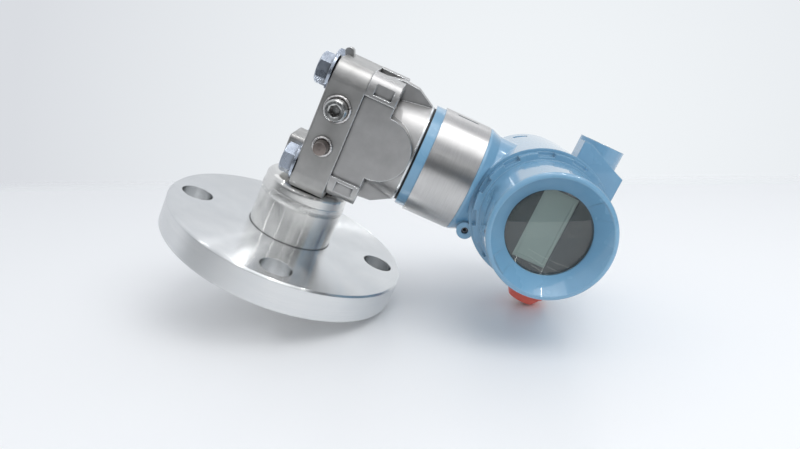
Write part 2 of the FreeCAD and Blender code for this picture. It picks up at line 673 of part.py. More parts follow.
def build_process_seal_rings():
    """Two flat plastic rings that seal the oil chambers against the module."""
    rings = []
    for name, sign in (("upper_ring", 1), ("lower_ring", -1)):
        body = new_body(name, BLOCK_STATION, along=dim.block_right - dim.seal_gauge,
                        rise=dim.isolator_spread * sign)
        annulus(body, "YZ_Plane", name, dim.seal_inner / 2 + dim.close_fit,
                dim.seal_outer / 2 - dim.close_fit, 0, dim.seal_gauge)
        rings.append(body)
    return group("process_seal_rings", rings)


def build_isolator_diaphragms():
    """Two thin discs on the floor of the module's shallow recesses."""
    discs = []
    for name, sign in (("upper_disc", 1), ("lower_disc", -1)):
        body = new_body(name, BLOCK_STATION, rise=dim.isolator_spread * sign,
                        along=dim.block_right + dim.isolator_recess - dim.isolator_gauge)
        sketch = new_sketch(body, "YZ_Plane", f"{name}_sketch")
        circle(sketch, 0, 0, dim.isolator_dia / 2 - dim.close_fit)
        pad(body, sketch, dim.isolator_gauge, name)
        discs.append(body)
    return group("isolator_diaphragms", discs)


def build_sensor_module():
    """Cast body: four bolt ears, two lobed flat faces, a cone to the neck, two ribs and a hollow stem."""
    body = new_body("sensor_module", BLOCK_STATION)
    half_width = dim.bolt_half_width + dim.ear_radius
    half_rise = dim.bolt_half_rise + dim.ear_radius
    base = new_sketch(body, "YZ_Plane", "ear_plate_profile", dim.block_right)
    round_box_outline(base, -half_width, half_width, -half_rise, half_rise, dim.ear_radius)
    pad(body, base, dim.ear_end - dim.block_right, "ear_plate")
    relief = new_sketch(body, "XZ_Plane", "face_relief_sketch", half_width)
    box_outline(relief, dim.block_right, dim.ear_end, -dim.ear_inner, dim.ear_inner)
    front_relief = cut(body, relief, half_width - dim.face_half_width, "face_relief")
    mirrored(body, [front_relief], "XZ_Plane", "face_reliefs")
    saddle = new_sketch(body, "XY_Plane", "saddle_sketch", half_rise)
    box_outline(saddle, dim.block_right, dim.ear_end, -dim.saddle_half_width, dim.saddle_half_width)
    top_saddle = cut(body, saddle, dim.saddle_depth, "saddle")
    mirrored(body, [top_saddle], "XY_Plane", "saddles")
    lobe = new_sketch(body, "XZ_Plane", "lobe_profile", dim.face_half_width)
    outline(lobe, [(dim.block_right, -dim.lobe_radius), (dim.lobe_centre, -dim.lobe_radius),
                   (dim.lobe_centre + dim.lobe_radius, 0), (dim.lobe_centre, dim.lobe_radius),
                   (dim.block_right, dim.lobe_radius)],
            {1: (dim.lobe_radius, -1), 2: (dim.lobe_radius, -1)})
    pad(body, lobe, dim.face_half_width * 2, "lobed_faces", back=True)
    turned = new_sketch(body, "XZ_Plane", "cone_section")
    outline(turned, [(dim.block_right + 2, 0), (STEM_END, 0), (STEM_END, dim.stem_dia / 2),
                     (dim.module_end, dim.stem_dia / 2), (dim.module_end, dim.cone_tip),
                     (dim.ear_end, dim.cone_root), (dim.block_right + 2, dim.cone_root)])
    revolve(body, turned, "H_Axis", "cone_and_stem")
    rib = new_sketch(body, "XZ_Plane", "rib_profile", dim.rib_gauge / 2)
    crest = [(dim.block_right, dim.rib_root), (dim.ear_end - 1.4, dim.rib_peak),
             (dim.rib_knee_at, dim.rib_knee), (dim.module_end - 0.6, dim.rib_toe)]
    outline(rib, [(along, -rise) for along, rise in crest] + list(reversed(crest)))
    pad(body, rib, dim.rib_gauge, "ribs", back=True)
    slots = new_sketch(body, "XZ_Plane", "ear_slot_sketch", half_width)
    for sign in (-1, 1):
        low, high = sorted((dim.ear_slot_low * sign, dim.ear_slot_high * sign), key=lambda size: size.value)
        box_outline(slots, dim.ear_slot_from, dim.ear_slot_to, low, high)
    front_slots = cut(body, slots, half_width - dim.ear_slot_floor, "ear_slots")
    mirrored(body, [front_slots], "XZ_Plane", "back_ear_slots")
    threads = new_sketch(body, "YZ_Plane", "thread_sketch", dim.block_right)
    recesses = new_sketch(body, "YZ_Plane", "isolator_recess_sketch", dim.block_right)
    for across, up in CORNER_SIGNS:
        circle(threads, dim.bolt_half_width * across, dim.bolt_half_rise * up,
               dim.bolt_dia / 2 + dim.bolt_fit)
    for sign in (-1, 1):
        circle(recesses, 0, dim.isolator_spread * sign, dim.isolator_dia / 2)
    cut(body, threads, dim.bolt_thread + 1, "bolt_threads", ahead=True)
    cut(body, recesses, dim.isolator_recess, "isolator_recesses", ahead=True)
    room = new_sketch(body, "YZ_Plane", "capsule_room_sketch", STEM_END)
    circle(room, 0, 0, dim.module_bore / 2)
    cut(body, room, STEM_END - dim.module_floor, "capsule_room")
    return keep(body)


def build_sensor_capsule():
    """Stepped metal capsule on the floor of the module's bore."""
    body = new_body("sensor_capsule", BLOCK_STATION, along=dim.module_floor)
    section = new_sketch(body, "XZ_Plane", "capsule_section")
    radius = dim.capsule_dia / 2
    outline(section, [(0, 0), (dim.capsule_length, 0), (dim.capsule_length, radius - dim.capsule_step),
                      (dim.capsule_length - dim.capsule_step, radius - dim.capsule_step),
                      (dim.capsule_length - dim.capsule_step, radius), (0, radius)])
    revolve(body, section, "H_Axis", "capsule_turned")
    return keep(body)


def build_neck_gasket():
    """Black rubber ring in the gap between the module and the housing's neck."""
    body = new_body("neck_gasket", BLOCK_STATION, along=dim.module_end)
    annulus(body, "YZ_Plane", "gasket", dim.stem_dia / 2 + 1.5, dim.cone_tip - 0.8, 0, dim.neck_gap - 0.05)
    return keep(body)


def build_electronics_housing():
    """Housing: neck, barrel with two open mouths, conduit bosses with shoulders, and a set-screw lug."""
    body = new_body("electronics_housing", HOUSING_STATION)
    neck = new_sketch(body, "XZ_Plane", "neck_section")
    collar = BAND_SEAT + dim.collar_step
    ring = BAND_SEAT - dim.ring_step
    outline(neck, [(RING_START, 0), (dim.cover_axis, 0), (dim.cover_axis, NECK), (dim.neck_start, NECK),
                   (dim.band_end + dim.collar_length, collar), (dim.band_end, collar),
                   (dim.band_end, BAND_SEAT), (dim.ring_end, BAND_SEAT), (dim.ring_end, ring),
                   (RING_START, ring)])
    revolve(body, neck, "H_Axis", "neck")
    barrel = new_sketch(body, "XZ_Plane", "barrel_profile", dim.barrel_front)
    circle(barrel, dim.cover_axis, 0, BARREL)
    pad(body, barrel, dim.barrel_front + dim.barrel_rear, "barrel", back=True)
    boss = new_sketch(body, "XY_Plane", "conduit_profile", -dim.conduit_reach)
    circle(boss, CONDUIT, dim.conduit_back, dim.conduit_dia / 2)
    pad(body, boss, dim.conduit_reach * 2, "conduit_bosses")
    shoulder = new_sketch(body, "XZ_Plane", "shoulder_profile", dim.shoulder_front)
    inner = CONDUIT - dim.conduit_dia / 2
    rise = [(inner, dim.shoulder_high), (inner + dim.conduit_dia * 0.16, dim.shoulder_high),
            (CONDUIT + dim.shoulder_knee, dim.shoulder_knee_rise),
            (CONDUIT + dim.shoulder_out, dim.shoulder_low)]
    outline(shoulder, rise + [(along, -up) for along, up in reversed(rise)])
    pad(body, shoulder, dim.shoulder_front + dim.conduit_back, "shoulders", back=True)
    lug = new_sketch(body, "XZ_Plane", "lug_profile", dim.lug_front)
    circle(lug, dim.lug_along, -dim.lug_below, dim.lug_dia / 2)
    pad(body, lug, dim.lug_length, "set_screw_lug", back=True)
    front_depth = dim.barrel_front - dim.partition_front
    rear_depth = dim.barrel_rear - dim.partition_rear
    for side, seat, depth, ahead in (("front", dim.barrel_front, front_depth, True),
                                     ("rear", -dim.barrel_rear, rear_depth, False)):
        sweep = new_sketch(body, "XZ_Plane", f"{side}_sweep_sketch", seat)
        circle(sweep, dim.cover_axis, 0, BARREL + dim.sweep_gap)
        cut(body, sweep, NECK, f"{side}_cover_sweep", ahead=ahead)
        steps = (("oring_seat", ORING_SEAT, ORING_SEAT_DEPTH), ("mouth", MOUTH, dim.mouth_depth),
                 ("compartment", COMPARTMENT, depth))
        for name, radius, sink in steps:
            sketch = new_sketch(body, "XZ_Plane", f"{side}_{name}_sketch", seat)
            circle(sketch, dim.cover_axis, 0, radius)
            cut(body, sketch, sink, f"{side}_{name}", ahead=not ahead)
    entry = new_sketch(body, "XY_Plane", "conduit_bore_sketch", dim.conduit_reach)
    circle(entry, CONDUIT, dim.conduit_back, dim.conduit_bore / 2)
    upper_bore = cut(body, entry, dim.conduit_depth, "conduit_bore")
    throat = new_sketch(body, "XY_Plane", "conduit_throat_sketch", dim.conduit_reach)
    circle(throat, CONDUIT, dim.conduit_back, dim.conduit_throat / 2)
    upper_throat = cut(body, throat, dim.conduit_reach - dim.throat_end, "conduit_throat")
    mirrored(body, [upper_bore, upper_throat], "XY_Plane", "lower_conduit")
    socket = new_sketch(body, "YZ_Plane", "stem_socket_sketch", RING_START)
    circle(socket, 0, 0, dim.stem_dia / 2 + dim.stem_fit)
    cut(body, socket, dim.stem_room - RING_START, "stem_socket", ahead=True)
    cable = new_sketch(body, "YZ_Plane", "cable_hole_sketch", dim.stem_room - 0.5)
    circle(cable, -dim.cable_offset, 0, dim.cable_hole / 2)
    cut(body, cable, dim.cover_axis - dim.stem_room - COMPARTMENT * 0.8, "cable_hole", ahead=True)
    screw_hole = new_sketch(body, "XZ_Plane", "set_screw_sketch", dim.lug_front)
    circle(screw_hole, dim.lug_along, -dim.lug_below, dim.set_screw_dia / 2 + dim.bolt_fit)
    cut(body, screw_hole, dim.set_screw_sink + dim.set_screw_length, "set_screw_hole")
    return keep(body)


def build_set_screw():
    """Socket set screw sunk in the lug, which locks the housing's rotation."""
    body = new_body("set_screw", HOUSING_STATION, along=dim.lug_along, rise=-dim.lug_below,
                    across=-dim.lug_front + dim.set_screw_sink, turn=FRONTWARD)
    shank = new_sketch(body, "XY_Plane", "set_screw_profile", -dim.set_screw_length)
    circle(shank, 0, 0, dim.set_screw_dia / 2)
    pad(body, shank, dim.set_screw_length, "set_screw_shank")
    socket = new_sketch(body, "XY_Plane", "set_screw_socket_sketch")
    hexagon(socket, 0, 0, dim.set_screw_flats)
    cut(body, socket, dim.set_screw_length / 3, "set_screw_socket")
    return keep(body)


def build_nameplate_band():
    """Thin steel band around the neck, with the narrow slot that takes its tab."""
    body = new_body("nameplate_band", HOUSING_STATION)
    inner = BAND_SEAT + dim.close_fit
    annulus(body, "YZ_Plane", "band", inner, inner + dim.band_gauge, dim.ring_end + dim.band_margin,
            dim.band_end - dim.ring_end - dim.band_margin * 2)
    slot = new_sketch(body, "XY_Plane", "band_slot_sketch", BAND_SEAT + 2)
    box_outline(slot, dim.band_slot_from, dim.band_slot_to, -dim.band_slot_side - dim.band_slot_width,
                -dim.band_slot_side)
    cut(body, slot, BAND_SEAT, "band_slot")
    return keep(body)


def cover_axis_body(label, turn):
    """Start a body on the barrel's axis, its own Z pointing out of one mouth."""
    return new_body(label, HOUSING_STATION, along=dim.cover_axis, turn=turn)


def cut_grips(body, rim, low, high):
    """Cut the grip notches around a cover's rim."""
    notch = new_sketch(body, "XY_Plane", "notch_sketch", high)
    box_outline(notch, rim - dim.notch_depth, rim + 1, -dim.notch_width / 2, dim.notch_width / 2)
    first = cut(body, notch, high - low, "grip_notch")
    return polar(body, [first], dim.notch_count, "grip_notches")


def build_display_cover():
    """Screw cover: thread, notched rim, tapered wall, and a rim that slopes inward to the window."""
    body = cover_axis_body("display_cover", f"{FRONTWARD} * rotationz(dims.cover_clocking)")
    start = dim.barrel_front - dim.thread_length
    seat = dim.barrel_front + dim.seat_gap
    root = COVER_BORE + dim.wall_root_gauge
    tip = COVER_BORE + dim.wall_tip_gauge
    crest = tip - dim.cover_round - dim.rim_land
    window = dim.window_dia / 2
    glass = dim.glass_dia / 2 + dim.glass_fit
    section = new_sketch(body, "XZ_Plane", "cover_section")
    outline(section, [(COVER_BORE, start), (THREAD, start), (THREAD, seat), (COVER_RIM, seat),
                      (COVER_RIM, dim.rim_end), (root, dim.rim_end), (tip, dim.cover_front - dim.cover_round),
                      (tip - dim.cover_round, dim.cover_front), (crest, dim.cover_front),
                      (window, dim.window_plane), (window, GLASS_FRONT), (glass, GLASS_FRONT),
                      (glass, RETAINER_BACK), (COVER_BORE, RETAINER_BACK - 2)], {6: (dim.cover_round, -1)})
    revolve(body, section, "V_Axis", "cover_turned")
    slope = new_sketch(body, "XZ_Plane", "slope_pad_sketch")
    outline(slope, [(window + 0.6, dim.window_plane), (crest - 0.4, dim.cover_front - 0.8),
                    (crest - 0.4, dim.cover_front - 0.8 + dim.pad_rise),
                    (window + 0.6, dim.window_plane + dim.pad_rise)])
    slope_pad = revolve(body, slope, "V_Axis", "slope_pad", dim.pad_angle, centred=True)
    polar(body, [slope_pad], 2, "slope_pads")
    cut_grips(body, COVER_RIM, dim.barrel_front + 2, dim.rim_end)
    return keep(body)


def build_window_glass():
    """Thick round window behind the cover's lip."""
    body = cover_axis_body("window_glass", FRONTWARD)
    sketch = new_sketch(body, "XY_Plane", "glass_profile", GLASS_BACK)
    circle(sketch, 0, 0, dim.glass_dia / 2)
    pad(body, sketch, dim.glass_gauge, "glass")
    return keep(body)


def build_window_retainer():
    """Ring pressed in behind the glass."""
    body = cover_axis_body("window_retainer", FRONTWARD)
    outer = dim.glass_dia / 2 + dim.glass_fit - dim.close_fit
    inner = outer - dim.retainer_width
    annulus(body, "XY_Plane", "retainer", inner, outer, RETAINER_BACK, dim.retainer_gauge)
    return keep(body)


def build_cover_oring(label, across):
    """O-ring between a cover's rim and the barrel's mouth."""
    ring = doc.addObject("Part::Torus", label)
    bind(ring, "Radius1", ORING_MAJOR)
    bind(ring, "Radius2", dim.oring_minor)
    place(ring, HOUSING_STATION, along=dim.cover_axis, across=across, turn=FRONTWARD)
    doc.recompute()
    return keep(ring, label)


def build_terminal_cover():
    """Plain screw cover at the back, dished on its end, with the same grip notches."""
    body = cover_axis_body("terminal_cover", REARWARD)
    start = dim.barrel_rear - dim.thread_length
    seat = dim.barrel_rear + dim.seat_gap
    dish = dim.cap_dish_dia / 2
    floor = dim.cap_end - dim.cap_dish_depth
    section = new_sketch(body, "XZ_Plane", "cap_section")
    outline(section, [(COVER_BORE, start), (THREAD, start), (THREAD, seat), (CAP_RIM, seat),
                      (CAP_RIM, dim.cap_end - dim.cap_round), (CAP_RIM - dim.cap_round, dim.cap_end),
                      (dish, dim.cap_end), (dish - dim.cap_dish_depth, floor), (0, floor),
                      (0, dim.cap_inside), (COVER_BORE, dim.cap_inside)], {4: (dim.cap_round, -1)})
    revolve(body, section, "V_Axis", "cap_turned")
    cut_grips(body, CAP_RIM, dim.barrel_rear + 2, dim.barrel_rear + dim.cap_grip)
    return keep(body)


def build_meter_bezel():
    """Display face plate with a raised rim and the opening for the panel."""
    body = cover_axis_body("meter_bezel", FRONTWARD)
    back = dim.bezel_front - dim.bezel_gauge
    section = new_sketch(body, "XZ_Plane", "bezel_section")
    face = dim.bezel_front - dim.bezel_step
    outline(section, [(0, back), (BEZEL, back), (BEZEL, dim.bezel_front),
                      (BEZEL - dim.bezel_rim, dim.bezel_front), (BEZEL - dim.bezel_rim, face), (0, face)])
    revolve(body, section, "V_Axis", "bezel_plate")
    opening = new_sketch(body, "XY_Plane", "lcd_opening_sketch", dim.bezel_front)
    box_outline(opening, -dim.lcd_short / 2, dim.lcd_short / 2, -dim.lcd_long / 2, dim.lcd_long / 2)
    cut(body, opening, dim.bezel_gauge, "lcd_opening")
    return keep(body)


def build_lcd_panel():
    """Display panel in the bezel's opening, its long side across the transmitter's axis."""
    body = cover_axis_body("lcd_panel", FRONTWARD)
    back = dim.bezel_front - dim.bezel_gauge
    short = dim.lcd_short / 2 - dim.lcd_fit
    tall = dim.lcd_long / 2 - dim.lcd_fit
    panel = new_sketch(body, "XY_Plane", "lcd_profile", back)
    box_outline(panel, -short, short, -tall, tall)
    pad(body, panel, dim.lcd_gauge - dim.lcd_fit, "lcd_glass")
    return keep(body)


def build_meter_board():
    """Round circuit board right behind the bezel."""
    body = cover_axis_body("meter_board", FRONTWARD)
    sketch = new_sketch(body, "XY_Plane", "meter_board_profile", METER_BACK)
    circle(sketch, 0, 0, BEZEL - dim.board_margin)
    pad(body, sketch, dim.board_gauge, "meter_board_disc")
    return keep(body)


def post_bodies(names):
    """Start one body on each post's axis, on the two free sides of the display."""
    return [new_body(name, HOUSING_STATION, along=dim.cover_axis + POST_ACROSS * sign, rise=POST_RISE * sign,
                     turn=FRONTWARD) for name, sign in zip(names, (-1, 1))]


def build_board_posts():
    """Posts from the partition through the main board to the display board."""
    posts = post_bodies(("lower_post", "upper_post"))
    for body in posts:
        foot = new_sketch(body, "XY_Plane", f"{body.Label}_profile", dim.partition_front)
        circle(foot, 0, 0, dim.post_dia / 2)
        pad(body, foot, METER_BACK - dim.partition_front, f"{body.Label}_rod")
    return group("board_posts", posts)


def build_meter_screws():
    """Two slotted screws with domed heads that hold the bezel to the posts."""
    screws = post_bodies(("lower_screw", "upper_screw"))
    head = dim.meter_screw_head / 2
    rise = dim.meter_screw_rise
    sphere = (head * head + rise * rise) / (rise * 2)
    face = dim.bezel_front - dim.bezel_step
    for body in screws:
        name = body.Label
        section = new_sketch(body, "XZ_Plane", f"{name}_section")
        outline(section, [(0, face), (head, face), (0, face + rise)], {1: (sphere, -1)})
        revolve(body, section, "V_Axis", f"{name}_head")
        slot = new_sketch(body, "XZ_Plane", f"{name}_slot_sketch", head)
        box_outline(slot, -dim.meter_screw_slot / 2, dim.meter_screw_slot / 2, face + rise / 2,
                    face + rise * 1.5)
        cut(body, slot, head * 2, f"{name}_slot")
    return group("meter_screws", screws)


def build_main_board():
    """Main electronics board on the posts, in front of the partition."""
    body = cover_axis_body("main_board", FRONTWARD)
    sketch = new_sketch(body, "XY_Plane", "main_board_profile", dim.main_board_at)
    circle(sketch, 0, 0, MAIN_BOARD)
    for sign in (-1, 1):
        circle(sketch, POST_ACROSS * sign, POST_RISE * sign, dim.post_dia / 2 + dim.bolt_fit)
    pad(body, sketch, dim.board_gauge, "main_board_disc")
    return keep(body)


def build_terminal_block():
    """Moulded terminal block on the partition's back, with three screw wells and a chord cut off."""
    body = cover_axis_body("terminal_block", REARWARD)
    base = new_sketch(body, "XY_Plane", "terminal_base_profile", dim.partition_rear)
    circle(base, 0, 0, TERMINAL)
    pad(body, base, dim.terminal_rise, "terminal_base")
    top = dim.partition_rear + dim.terminal_rise
    chord = new_sketch(body, "XY_Plane", "chord_sketch", top)
    box_outline(chord, -TERMINAL, TERMINAL, -TERMINAL, -dim.terminal_chord)
    cut(body, chord, dim.terminal_rise, "chord")
    wells = new_sketch(body, "XY_Plane", "well_sketch", top)
    for step in (-1, 0, 1):
        circle(wells, dim.terminal_spread * step, dim.terminal_row, dim.terminal_well / 2)
    cut(body, wells, dim.terminal_well_depth, "screw_wells")
    return keep(body)


def slotted_screw(name, along, across, rise):
    """Low cylinder-head screw with a straight slot, standing on the given point and facing the back."""
    body = new_body(name, HOUSING_STATION, along=along, across=across, rise=rise, turn=REARWARD)
    radius = dim.terminal_screw_dia / 2
    head = new_sketch(body, "XY_Plane", f"{name}_profile")
    circle(head, 0, 0, radius)
    pad(body, head, dim.terminal_screw_rise, f"{name}_head")
    slot = new_sketch(body, "XY_Plane", f"{name}_slot_sketch", dim.terminal_screw_rise)
    box_outline(slot, -radius * 1.1, radius * 1.1, -dim.terminal_slot / 2, dim.terminal_slot / 2)
    cut(body, slot, dim.terminal_screw_rise / 2, f"{name}_slot")
    return body


def build_terminal_screws():
    """Three slotted screws on the floors of the terminal wells."""
    floor = dim.partition_rear + dim.terminal_rise - dim.terminal_well_depth
    screws = []
    for name, step in (("left_terminal", -1), ("middle_terminal", 0), ("right_terminal", 1)):
        screws.append(slotted_screw(name, dim.cover_axis + dim.terminal_spread * step, floor,
                                    -dim.terminal_row))
    return group("terminal_screws", screws)


def build_ground_screw():
    """Slotted grounding screw on the partition, beside the terminal block."""
    return keep(slotted_screw("ground_screw", dim.cover_axis, dim.partition_rear, dim.ground_offset))


def build_sensor_cable():
    """Flat cable from the capsule along the stem, through the housing wall, to the main board."""
    body = new_body("sensor_cable", HOUSING_STATION)
    start = dim.module_floor + dim.capsule_length
    bend = dim.cable_offset / 2
    hook = dim.main_board_at - dim.cable_offset
    way = new_sketch(body, "XY_Plane", "cable_way")
    leave = dim.stem_room - dim.cable_bend
    outline(way, [(start, 0), (leave, 0), (leave + bend, -bend),
                  (leave + bend * 2, -bend * 2), (dim.cable_end, -dim.cable_offset),
                  (dim.cable_end + hook, -dim.main_board_at)],
            {1: (bend, 1), 2: (bend, -1), 4: (hook, 1)}, closed=False)
    strip = new_sketch(body, "YZ_Plane", "cable_profile", start)
    box_outline(strip, -dim.cable_gauge / 2, dim.cable_gauge / 2, -dim.cable_width / 2, dim.cable_width / 2)
    doc.recompute()
    pipe = body.newObject("PartDesign::AdditivePipe", "cable_run")
    pipe.Profile = strip
    pipe.Spine = (way, [])
    way.Visibility = False
    doc.recompute()
    return keep(body)


def build_conduit_plug():
    """Hollow plastic plug in the lower conduit: tapered stub, flat rim and a conical head."""
    body = new_body("conduit_plug", HOUSING_STATION, along=CONDUIT, across=dim.conduit_back,
                    rise=-dim.conduit_reach)
    stub = dim.conduit_bore / 2 - dim.conduit_plug_fit
    rim = dim.plug_rim_dia / 2
    head = dim.plug_head_dia / 2
    hollow = dim.plug_hollow_dia / 2
    roof = dim.plug_hollow_depth - dim.plug_head_rise
    section = new_sketch(body, "XZ_Plane", "plug_section")
    outline(section, [(0, roof), (hollow, roof), (hollow, -dim.plug_head_rise), (head, -dim.plug_head_rise),
                      (rim - 0.8, -dim.plug_rim_gauge), (rim, -dim.plug_rim_gauge), (rim, 0), (stub, 0),
                      (stub - dim.conduit_plug_taper, dim.conduit_plug_length), (0, dim.conduit_plug_length)])
    revolve(body, section, "V_Axis", "plug_moulded")
    return keep(body)


def finish():
    """Check every object and write each sub-part."""
    doc.recompute()
    for item in doc.Objects:
        if {"Invalid", "Error"} & set(item.State):
            raise RuntimeError(f"{item.Label} failed: {item.State}")
    os.makedirs("parts", exist_ok=True)
    for piece in sub_parts:
        if piece.Shape.isNull() or not piece.Shape.isValid():
            raise RuntimeError(f"{piece.Label} has no valid shape")
        piece.Shape.exportStep(f"parts/{piece.Label}.step")


build_process_flange()
build_seal_hub()
build_isolating_diaphragm()
build_process_block()
build_block_bolts()
build_bolt_washers()
build_fill_port_plug()
build_fill_port_cap()
build_port_weld_beads()
build_hub_weld()
build_process_seal_rings()
build_isolator_diaphragms()
build_sensor_module()
build_sensor_capsule()
build_neck_gasket()
build_electronics_housing()
build_set_screw()
build_nameplate_band()
build_display_cover()
build_window_glass()
build_window_retainer()
build_cover_oring("front_cover_oring", ORING_SEAT_DEPTH / 2 - dim.barrel_front)
build_cover_oring("rear_cover_oring", dim.barrel_rear - ORING_SEAT_DEPTH / 2)
build_terminal_cover()
build_meter_bezel()
build_lcd_panel()
build_meter_board()
build_board_posts()
build_meter_screws()
build_main_board()
build_sensor_cable()
build_terminal_block()
build_terminal_screws()
build_ground_screw()
build_conduit_plug()
finish()
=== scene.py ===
"""Dresses the flange-mounted level transmitter: finishes, worked metal details, studio light and camera.

Lengths are metres in the part's own frame: Z is the flange's axis, X is the transmitter's axis, and the
display faces -Y.
"""

import logging
import math
from collections.abc import Callable
from dataclasses import dataclass
from enum import Enum
from functools import partial

import bmesh
import bpy
from mathutils import Matrix, Vector


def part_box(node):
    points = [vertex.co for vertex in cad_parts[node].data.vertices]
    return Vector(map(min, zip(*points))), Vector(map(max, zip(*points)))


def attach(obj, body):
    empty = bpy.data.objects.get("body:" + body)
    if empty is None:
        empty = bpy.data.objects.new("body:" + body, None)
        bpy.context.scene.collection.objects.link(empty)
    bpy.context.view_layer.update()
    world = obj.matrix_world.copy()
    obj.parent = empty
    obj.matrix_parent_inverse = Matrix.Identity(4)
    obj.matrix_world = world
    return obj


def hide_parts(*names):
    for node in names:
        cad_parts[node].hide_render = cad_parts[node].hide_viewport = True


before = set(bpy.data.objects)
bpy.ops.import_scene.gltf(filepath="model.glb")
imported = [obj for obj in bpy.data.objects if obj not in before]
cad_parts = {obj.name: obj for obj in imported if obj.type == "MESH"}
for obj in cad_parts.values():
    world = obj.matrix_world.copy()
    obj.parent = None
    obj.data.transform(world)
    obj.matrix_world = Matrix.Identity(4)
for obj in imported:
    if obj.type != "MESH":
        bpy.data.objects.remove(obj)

log = logging.getLogger("transmitter")

Tree = bpy.types.NodeTree
Socket = bpy.types.NodeSocket
Piece = bpy.types.Object
Adder = Callable[..., Socket | None]

MM = 0.001
FLANGE_AXIS = Vector((0.0, 0.0, 1.0))
PART_MIDDLE = Vector((80.0 * MM, 0.0, 80.0 * MM))
AXIS_HEIGHT = 94.9 * MM
HOUSING_TURN = math.radians(-3.0)
HOUSING_TILT = Matrix.Rotation(HOUSING_TURN, 4, "X")
BARREL_CENTRE = Vector((130.2 * MM, 0.0, AXIS_HEIGHT))
BARREL_AXIS = Vector((0.0, math.cos(HOUSING_TURN), math.sin(HOUSING_TURN)))
CONDUIT_CENTRE = Vector((154.0 * MM, 12.0 * MM, AXIS_HEIGHT))
CONDUIT_AXIS = Vector((0.0, -math.sin(HOUSING_TURN), math.cos(HOUSING_TURN)))
# Blender's noise keeps mostly to this span, so patterns are stretched from it.
NOISE_SPAN = {"From Min": 0.3, "From Max": 0.7}
# The photograph's size and the camera's focal length, in pixels.
PHOTO_WIDTH, PHOTO_HEIGHT, FOCAL_PIXELS = 800.0, 449.0, 642.915


class TurningAxis(Enum):
    """The axis that a piece was turned or brushed about."""

    FLANGE = "Z"
    NECK = "X"


class Body(Enum):
    """The moving bodies that added pieces ride on."""

    BASE = "base"
    HOUSING = "housing"
    FRONT_COVER = "front_cover"
    REAR_COVER = "rear_cover"


def srgb(code: str) -> tuple[float, float, float, float]:
    """Turn an sRGB hex colour into linear light.

    Args:
        code: the colour as #RRGGBB.

    Returns:
        Linear red, green and blue with an alpha of 1.
    """
    parts = [int(code[start:start + 2], 16) / 255.0 for start in (1, 3, 5)]
    linear = [part / 12.92 if part <= 0.04045 else ((part + 0.055) / 1.055) ** 2.4 for part in parts]
    return *linear, 1.0


def add_node(tree: Tree, kind: str, inputs: dict | None = None, out: int | str = 0,
             **settings: object) -> Socket | None:
    """Add one shader node with its settings and links.

    Args:
        tree: the node tree that gets the node.
        kind: Blender's type name of the node, after its common first part.
        inputs: a value, or an output socket to link from, for each input by name or number.
        out: the output that is wanted, by name or number.
        settings: the node's own properties.

    Returns:
        The wanted output, or None for a node that has no outputs.
    """
    node = tree.nodes.new(f"ShaderNode{kind}")
    for name, value in settings.items():
        setattr(node, name, value)
    for name, value in (inputs or {}).items():
        if isinstance(value, Socket):
            tree.links.new(value, node.inputs[name])
        else:
            node.inputs[name].default_value = value
    return node.outputs[out] if len(node.outputs) else None


def distance_from_line(add: Adder, place: Socket, point: Vector, axis: Vector) -> tuple[Socket, Socket]:
    """Measure how far the surface is from a line, and how far along it.

    Args:
        add: adds a node to the material.
        place: the surface's place in the part's frame.
        point: a point on the line.
        axis: the line's direction, one unit long.

    Returns:
        The distance from the line and the distance along it from the point, in metres.
    """
    offset = add("VectorMath", {0: place, 1: point}, operation="SUBTRACT")
    along = add("VectorMath", {0: offset, 1: axis}, "Value", operation="DOT_PRODUCT")
    run = add("VectorMath", {0: axis, "Scale": along}, operation="SCALE")
    across = add("VectorMath", {0: offset, 1: run}, operation="SUBTRACT")
    return add("VectorMath", {0: across}, "Value", operation="LENGTH"), along


def painted_corner_shade(add: Adder, reach: float) -> Socket:
    """Find the inner corners and narrow gaps, where shade falls, for painted shade.

    Args:
        add: adds a node to the material.
        reach: how far out from the surface a neighbouring wall counts, in metres.

    Returns:
        A mask that is 1 on open surfaces and falls to 0 in a deep corner.
    """
    open_sky = add("AmbientOcclusion", {"Distance": reach}, "AO", samples=8)
    return add("MapRange", {"Value": open_sky, "From Min": 0.35, "From Max": 0.9})


def edge_wear_and_highlight(add: Adder, radius: float, reach: float) -> tuple[Socket, Socket]:
    """Round the look of sharp edges and find where they are; the mask feeds painted highlights and rubbed
    edges.

    Args:
        add: adds a node to the material.
        radius: radius of the rounding, in metres.
        reach: how far the rounded normal leaves the true one where the edge counts in full.

    Returns:
        The rounded normal, and a mask that is 1 along the edges.
    """
    rounded = add("Bevel", {"Radius": radius}, samples=6)
    true = add("NewGeometry", out="Normal")
    match = add("VectorMath", {0: rounded, 1: true}, "Value", operation="DOT_PRODUCT")
    return rounded, add("MapRange", {"Value": match, "From Min": 0.995, "From Max": 1.0 - reach})


def cloudy_tone(add: Adder, cloud: Socket, half_span: float, shade: str, tone: str) -> Socket:
    """Cloud a surface between two tones.

    Args:
        add: adds a node to the material.
        cloud: the noise that clouds it, about 0.5.
        half_span: how far the noise has to leave 0.5 for a full tone.
        shade: the darker tone.
        tone: the lighter tone.

    Returns:
        The clouded colour.
    """
    patch = add("MapRange", {"Value": cloud, "From Min": 0.5 - half_span, "From Max": 0.5 + half_span})
    return add("Mix", {0: patch, 6: srgb(shade), 7: srgb(tone)}, 2, data_type="RGBA")


